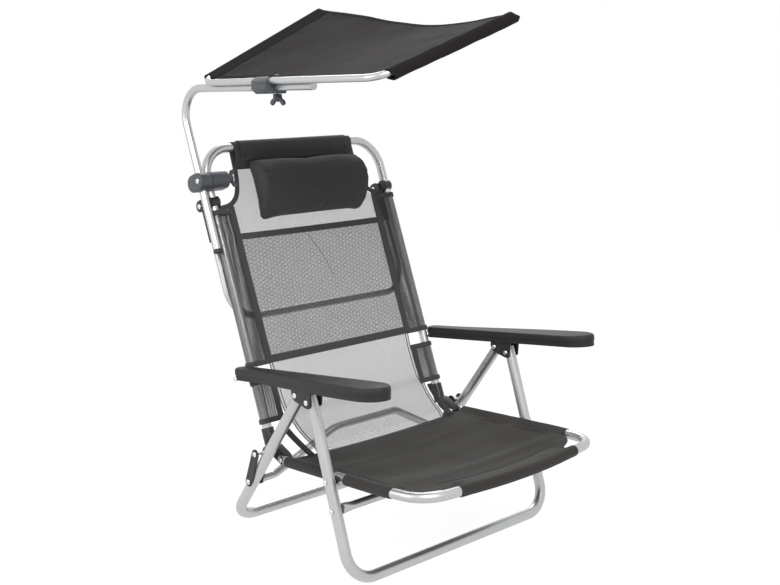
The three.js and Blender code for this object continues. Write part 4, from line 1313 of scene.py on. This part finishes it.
def four(points, k):
    """The four points round the span that starts at k. The ends are repeated."""
    return [points[min(max(k + j, 0), len(points) - 1)] for j in (-1, 0, 1, 2)]


def corner_line(sign):
    points = [back(sign * x, s_at(z), back_belly(x, s_at(z))) for z, x in CORNER_EDGE]

    def line(v):
        t = v * (len(points) - 1)
        k = min(int(t), len(points) - 2)
        p = four(points, k)
        heading = (0.5 * ((p[2] - p[0]) + (p[3] - p[1]))).normalized()
        return curve(p, t - k), heading.cross(FRONT).normalized(), FRONT
    return line


for hand, sign in HANDS.items():
    tape(f"corner_tape_{hand}", corner_line(sign), 10.5, 0.2, wall=2.4)
print("two corner tapes")

# %% [markdown]
# ### Straps at the foot of the net
#
# Two thick black straps run from the foot of the back down to the seat and take the pull of the net.
# Beside each of them the edge of the net is turned over and sewn with two lines. Both cross the hinge between
# seat and backrest and, like the net that they hold, ride on no body.

# %% Straps and turned edges
STRAP = [
    (209, 500, 222), (207, 488, 211), (204, 471, 200), (201, 452, 190), (198.5, 432, 181), (198, 418, 176.5),
]
EDGE_LOW, EDGE_HIGH, EDGE_STEPS = 176, NET_HEM_LOW - 8, 50


def strap_line(sign):
    points = [spot(sign * x, y, z) for x, y, z in STRAP]

    def line(v):
        t = v * (len(points) - 1)
        k = min(int(t), len(points) - 2)
        heading = (points[k + 1] - points[k]).normalized()
        return points[k].lerp(points[k + 1], t - k), SIDEWAYS, -SIDEWAYS.cross(heading).normalized()
    return line


def turned_edge(sign, inset, v):
    z = EDGE_LOW + (EDGE_HIGH - EDGE_LOW) * v
    return lower_point(sign * (from_table(LOWER_HALF, z) - inset), z) + FRONT * 0.6 * MM


for hand, sign in HANDS.items():
    across_the_fold(tape(
        f"foot_strap_{hand}", strap_line(sign), 15, 0, None, strap_web, wall=2.6, count=30,
    ))
    for k, inset in enumerate((1.5, 8.5)):
        points = [turned_edge(sign, inset, j / EDGE_STEPS) for j in range(EDGE_STEPS + 1)]
        across_the_fold(bead(f"turned_edge_{k}_{hand}", points, 0.9, None, binding))
print("straps and turned edges")

# %% Loop over the top bar, and painted shade along the crease in the pocket
LOOP_HALF, LOOP_R, LOOP_REACH = 160, BACK_R + 1.8, BACK_TOP - s_at(697)
POCKET_CREASE_SHADE = [(-14, 561), (-4, 545), (6, 531), (14, 515), (22, 497), (27, 480), (30, 466)]


def loop_place(u, v):
    down, up = drop_section(LOOP_R, LOOP_REACH, u)
    x = LOOP_HALF * (2 * v - 1)
    slack = 0.8 * wave_noise(x, u * 60, 22, 5.0) * min(max(down - 8, 0) / 14, 1)
    return back(x, BACK_TOP - down, -up * 0.96 + slack + back_belly(x, BACK_TOP) * max(down, 0) / LOOP_REACH)


loop_flat = (drop_girth(LOOP_R, LOOP_REACH), 2 * LOOP_HALF * MM)
cloth(
    "top_loop", loop_place, (48, 60), loop_flat, "backrest", binding, "folded", ["back_tube", "net_upper"],
    wall=1.2, ring=True,
)
# Painted shade: a dark cord of binding drawn along the pocket's crease stands in for the shade in the fold
bead("pocket_crease_shade", [net_at(x, z, -1.9) for x, z in POCKET_CREASE_SHADE], 0.35, "backrest", binding)
print("top loop and crease")

# %% [markdown]
# ### Pillow
#
# The pillow is a bolster with a D-shaped section: its flat side lies on the net, its round side faces
# the neck, and it ends in two flat panels with a sewn edge. It starts as a loft a little smaller than
# the real thing. The loft is remeshed and blown up as cloth, so that the cover pulls tight between
# its seams, and the side that rests on the net is pressed flat again. The seams are laid on last,
# because the remesh would erase them.

# %% Pillow
PILLOW_HALF, PILLOW_MIDDLE, PILLOW_LOW, PILLOW_TOP, PILLOW_DEEP = 141, 7, 433, 561, -24
PILLOW_SECTION = [
    (-0.98, -2.5), (-0.86, -19), (-0.62, -36), (-0.30, -49), (0.05, -55), (0.38, -53), (0.68, -43),
    (0.88, -28), (0.98, -13), (1.0, -4.5), (0.85, -1.5), (0.4, -1.0), (-0.1, -1.0), (-0.6, -1.0),
]
PILLOW_END = [(135, 0.985), (139, 0.93), (140, 0.80)]
VOXEL, SWELL, BLOW_FRAMES = 0.004, 0.006, 20
BLOW = {
    "quality": 5, "mass": 0.3, "tension_stiffness": 15, "compression_stiffness": 15, "bending_stiffness": 0.5,
    "use_pressure": True, "uniform_pressure_force": 4,
}


def closed_curve(points, count):
    """A smooth closed line through points, as count points."""
    out, total = [], len(points)
    for k in range(count):
        t = k * total / count
        out.append(curve([Vector((*points[(int(t) + j) % total], 0)) for j in (-1, 0, 1, 2)], t - int(t)))
    return out


def pillow_point(x, share_s, n, size=1.0):
    s = (PILLOW_LOW + PILLOW_TOP) / 2 + share_s * size * (PILLOW_TOP - PILLOW_LOW) / 2
    depth = PILLOW_DEEP + (n - PILLOW_DEEP) * size
    return back(x + PILLOW_MIDDLE, s, depth + back_belly(x + PILLOW_MIDDLE, s))


def apply_all(piece):
    """Turns the piece into the mesh that its modifiers give at this frame."""
    shape = piece.evaluated_get(bpy.context.evaluated_depsgraph_get())
    mesh = bpy.data.meshes.new_from_object(shape)
    piece.modifiers.clear()
    old = piece.data
    piece.data = mesh
    bpy.data.meshes.remove(old)


section = closed_curve(PILLOW_SECTION, 84)
near_end = [(-x, size) for x, size in reversed(PILLOW_END)]
stations = near_end + [(x, 1.0) for x in range(-120, 121, 12)] + PILLOW_END
bm = bmesh.new()
rings = [[bm.verts.new(pillow_point(x, p.x, p.y, size)) for p in section] for x, size in stations]
skin_rings(bm, rings)
pillow = new_piece("pillow", bm, "backrest", pillow_cloth, "head_pillow", sharp=180)
grid = pillow.modifiers.new("grid", "REMESH")
grid.mode = "VOXEL"
grid.voxel_size = VOXEL
apply_all(pillow)
start = [vert.co.copy() for vert in pillow.data.vertices]
blow = pillow.modifiers.new("blow", "CLOTH")
for setting, value in BLOW.items():
    setattr(blow.settings, setting, value)
blow.settings.effector_weights.gravity = 0
blow.point_cache.frame_start, blow.point_cache.frame_end = 1, BLOW_FRAMES
for frame_number in range(1, BLOW_FRAMES + 1):
    scene.frame_set(frame_number)
apply_all(pillow)
scene.frame_set(1)
for vert, was in zip(pillow.data.vertices, start):
    moved = vert.co - was
    if moved.length > SWELL:
        vert.co = was + moved.normalized() * SWELL

ROW_UP, ROW_OUT = back(0, 1) - back(0, 0), back(0, 0, 1) - back(0, 0, 0)
for vert in pillow.data.vertices:
    away = vert.co - back(0, 0)
    s, n = (away.dot(row) / row.length_squared for row in (ROW_UP, ROW_OUT))
    x = vert.co.x / MM
    rest = back_belly(x, s) - 1.0
    front = min(max((rest - n) / 20, 0), 1)
    near_seam = math.exp(-((PILLOW_HALF - abs(x - PILLOW_MIDDLE)) / 30) ** 2)
    pucker = near_seam * 0.9 * math.sin(s / 3.1 + 2.2 * wave_noise(s, n, 18, 2.0))
    drift = 1.2 * wave_noise(x, s, 55, 9.0) + 0.5 * wave_noise(x, s, 19, 4.0)
    vert.co = back(x, s, min(n - (pucker + drift) * front, rest))
pillow.data.shade_smooth()
fine = pillow.modifiers.new("soft", "SUBSURF")
fine.levels = fine.render_levels = 1
print("pillow", len(pillow.data.vertices), "points")

# %% Pillow seams
skin = BVHTree.FromObject(pillow, bpy.context.evaluated_depsgraph_get())


def pillow_seam(name, rows, lift, radius, closed=False):
    """A bead that lies on the pillow. rows are (x, share_s, n) near its surface."""
    points = []
    for row in rows:
        place, normal, *_ = skin.find_nearest(pillow_point(*row))
        points.append(place + normal * lift * MM)
    bead(name, points, radius, "backrest", pillow_cloth, closed=closed)


outline = closed_curve(PILLOW_SECTION, 120)
for hand, sign in HANDS.items():
    rim = [(sign * (PILLOW_HALF + 4), p.x * 1.06, p.y * 1.06 - 1) for p in outline]
    pillow_seam(f"pillow_piping_{hand}", rim, 0.5, 1.3, closed=True)
    # The flat side on the net needs no stitches
    inside = [(sign * (PILLOW_HALF - 9), p.x, p.y - 3) for p in outline[:78]]
    pillow_seam(f"pillow_stitch_{hand}", inside, 0.1, 0.45)
pillow_seam("pillow_low_seam", [(x, -1.06, -4) for x in range(-138, 139, 6)], 0.3, 1.0)
print("pillow seams")

# %% Flap that carries the pillow
FLAP_HALF, FLAP_R, FLAP_FRONT, FLAP_REAR = 147, LOOP_R + 2.2, 561, 563
FLAP_OUT = ROW_OUT.normalized()
SNAP_X, SNAP_PROUD = 138, 0.6
SNAPS = [("left", -1, 571, -1), ("right", 1, 576, -1), ("rear_left", -1, 573, 1), ("rear_right", 1, 573, 1)]
SNAP_OUTLINE = [(0, 1.6), (1.6, 1.5), (2.6, 1.0), (3.1, 0.3), (3.2, 0.0), (0, 0.0)]


def flap_place(u, v):
    x = FLAP_HALF * (2 * u - 1)
    low, high = BACK_TOP - FLAP_FRONT, BACK_TOP - FLAP_REAR
    turn = math.pi * FLAP_R
    run = v * (low + turn + high)
    slack = 1.0 * wave_noise(x, run, 34, 7.0)
    if run < low:
        share = run / low
        return back(x, FLAP_FRONT + run, -FLAP_R * (0.5 + 0.5 * blend01(share)) + 0.3 * slack * (1 - share))
    if run < low + turn:
        a = (run - low) / FLAP_R
        return back(x, BACK_TOP + FLAP_R * math.sin(a), -FLAP_R * math.cos(a))
    past = run - low - turn
    return back(x, BACK_TOP - past, FLAP_R - slack * (past / high))


flap_flat = (2 * FLAP_HALF * MM, (BACK_TOP * 2 - FLAP_FRONT - FLAP_REAR + math.pi * FLAP_R) * MM)
cloth(
    "pillow_strap", flap_place, (60, 34), flap_flat, "backrest", binding, "draped", ["top_loop", "pillow"],
    ("pillow_flap",), wall=1.5, soft=1,
)
for name, sign, s, side in SNAPS:
    bm = bmesh.new()
    centre = back(sign * SNAP_X, s, side * (FLAP_R + SNAP_PROUD))
    spin_profile(bm, SNAP_OUTLINE, centre, FLAP_OUT * side, SIDEWAYS)
    new_piece(f"flap_snap_{name}", bm, "backrest", grey_plastic)
hem = [flap_place(k / 60, 0.97) + FLAP_OUT * 1.1 * MM for k in range(61)]
bead("flap_hem", hem, 0.5, "backrest", pillow_cloth)
print("flap and snaps")

# %% [markdown]
# ### Canopy
#
# The sunshade is one piece of cloth. Both long edges are turned round the prongs of the frame and sewn
# to themselves, the rear one close round its prong, the front one wide and loose. Between them the
# cloth hangs in a shallow curve, deeper and cut back a little at the free end. The sheet is written
# as one surface: its cross-section runs round the rear prong, over to the front and round the front
# prong, so that it has no joint where the sleeves begin.

# %% Canopy sheet
SHADE_START, SHADE_SAG, SHADE_SCOOP = 18, 15, 18
SHADE_TUBE = SHADE_R + 1.3
REAR_REACH = 25
SHADE_END = SHADE_L + 7
FRONT_SLEEVE = [Vector((*point, 0)) for point in (
    (22, 0.2), (13, 4.6), (4, 8.0), (-2, 7.4), (-8, 3.6), (-12.5, -2.0), (-14.2, -7.0), (-13.2, -9.6),
    (-9.5, -10.4), (-3, -9.6), (6, -7.0), (15, -3.6), (22, -1.2),
)]
FRONT_REACH = 22
REAR_PART, FRONT_PART = 0.14, 0.86


def open_curve(points, t):
    t = min(max(t, 0), 0.99999) * (len(points) - 1)
    return curve(four(points, int(t)), t - int(t))


def sewn_shut(d):
    """The ends of the sleeves close over the ends of the prongs."""
    return 1 - 0.72 * blend01((d - SHADE_L - 1.5) / (SHADE_END - SHADE_L - 1.5))


def shade_middle(k, v, lift=0.0):
    """k runs from the rear seam to the front seam, v from the rail to the free end."""
    y = SHADE_REAR - REAR_REACH + (SHADE_FRONT + FRONT_REACH - SHADE_REAR + REAR_REACH) * k
    wave = math.sin(math.pi * k ** 1.5) ** 1.15 if 0 < k < 1 else 0
    free_end = SHADE_END - 4 * min(k / 0.04, (1 - k) / 0.04, 1) - SHADE_SCOOP * wave
    d = SHADE_START + (free_end - SHADE_START) * v
    sag = SHADE_SAG * wave * (0.2 + 0.8 * v)
    edge = min(k, 1 - k) * 2
    drawn = 0.9 * math.sin(v * 23 + 3 * wave_noise(v * 40, k * 10, 9, 1.0)) * math.exp(-edge * 7)
    soft_folds = 1.3 * wave_noise(y, d, 95, 6.0) + 0.5 * wave_noise(y, d * 0.5, 34, 8.0)
    return prong(y, d, sag + (drawn + soft_folds) * min(edge * 9, 1) - lift)


def shade_place(u, v):
    d = SHADE_START + (SHADE_END - SHADE_START) * v
    if u < REAR_PART:
        inward, up = drop_section(SHADE_TUBE, REAR_REACH, 1 - u / REAR_PART)
        seam = (0.9 if u < REAR_PART / 2 else 0) * (inward / REAR_REACH) ** 4
        return prong(SHADE_REAR - inward, d, seam - up * sewn_shut(d))
    if u > FRONT_PART:
        point = open_curve(FRONT_SLEEVE, (u - FRONT_PART) / (1 - FRONT_PART))
        loose = 1.2 * wave_noise(d, point.y * 3, 40, 12.0) * blend01((FRONT_REACH - point.x) / 20)
        return prong(SHADE_FRONT + point.x, d, -(point.y + loose) * sewn_shut(d))
    return shade_middle((u - REAR_PART) / (FRONT_PART - REAR_PART), v)


middle_width = (shade_middle(0, 0.5) - shade_middle(1, 0.5)).length
front_girth = sum((b - a).length for a, b in zip(FRONT_SLEEVE, FRONT_SLEEVE[1:])) * MM
shade_width = drop_girth(SHADE_TUBE, REAR_REACH) + middle_width * 1.02 + front_girth
shade_flat = (shade_width, (SHADE_END - SHADE_START) * MM)
cloth(
    "shade_sheet", shade_place, (200, 64), shade_flat, "canopy", shade_cloth, "stretched", ["shade_tube"],
    ("canopy_cover",),
)
print("canopy sheet", [round(v, 3) for v in shade_flat])

# %% Canopy hems and seams
def shade_bead(name, places, radius=0.45, lift=0.75, material=shade_cloth):
    """A bead over the canopy through places (k, v)."""
    bead(name, [shade_middle(k, v, lift) for k, v in places], radius, "canopy", material)


for side, v, out in (("near", 0, 9), ("near_edge", 0, 1.5), ("free", 1, -9), ("free_edge", 1, -1.5)):
    row = v + out / (SHADE_END - SHADE_START)
    shade_bead(f"shade_hem_{side}", [(k / 80, row) for k in range(1, 80)])
for side, k, way in (("rear", 0.0, 1), ("front", 1.0, -1)):
    for j, step in enumerate((0.002, 0.012)):
        shade_bead(f"shade_seam_{side}_{j}", [(k + way * step, v / 60) for v in range(60)])
shade_bead("shade_slit", [(0.985, v) for v in (0.46, 0.475, 0.49, 0.505, 0.52)], 0.9, 0.9, binding)
print("canopy seams")
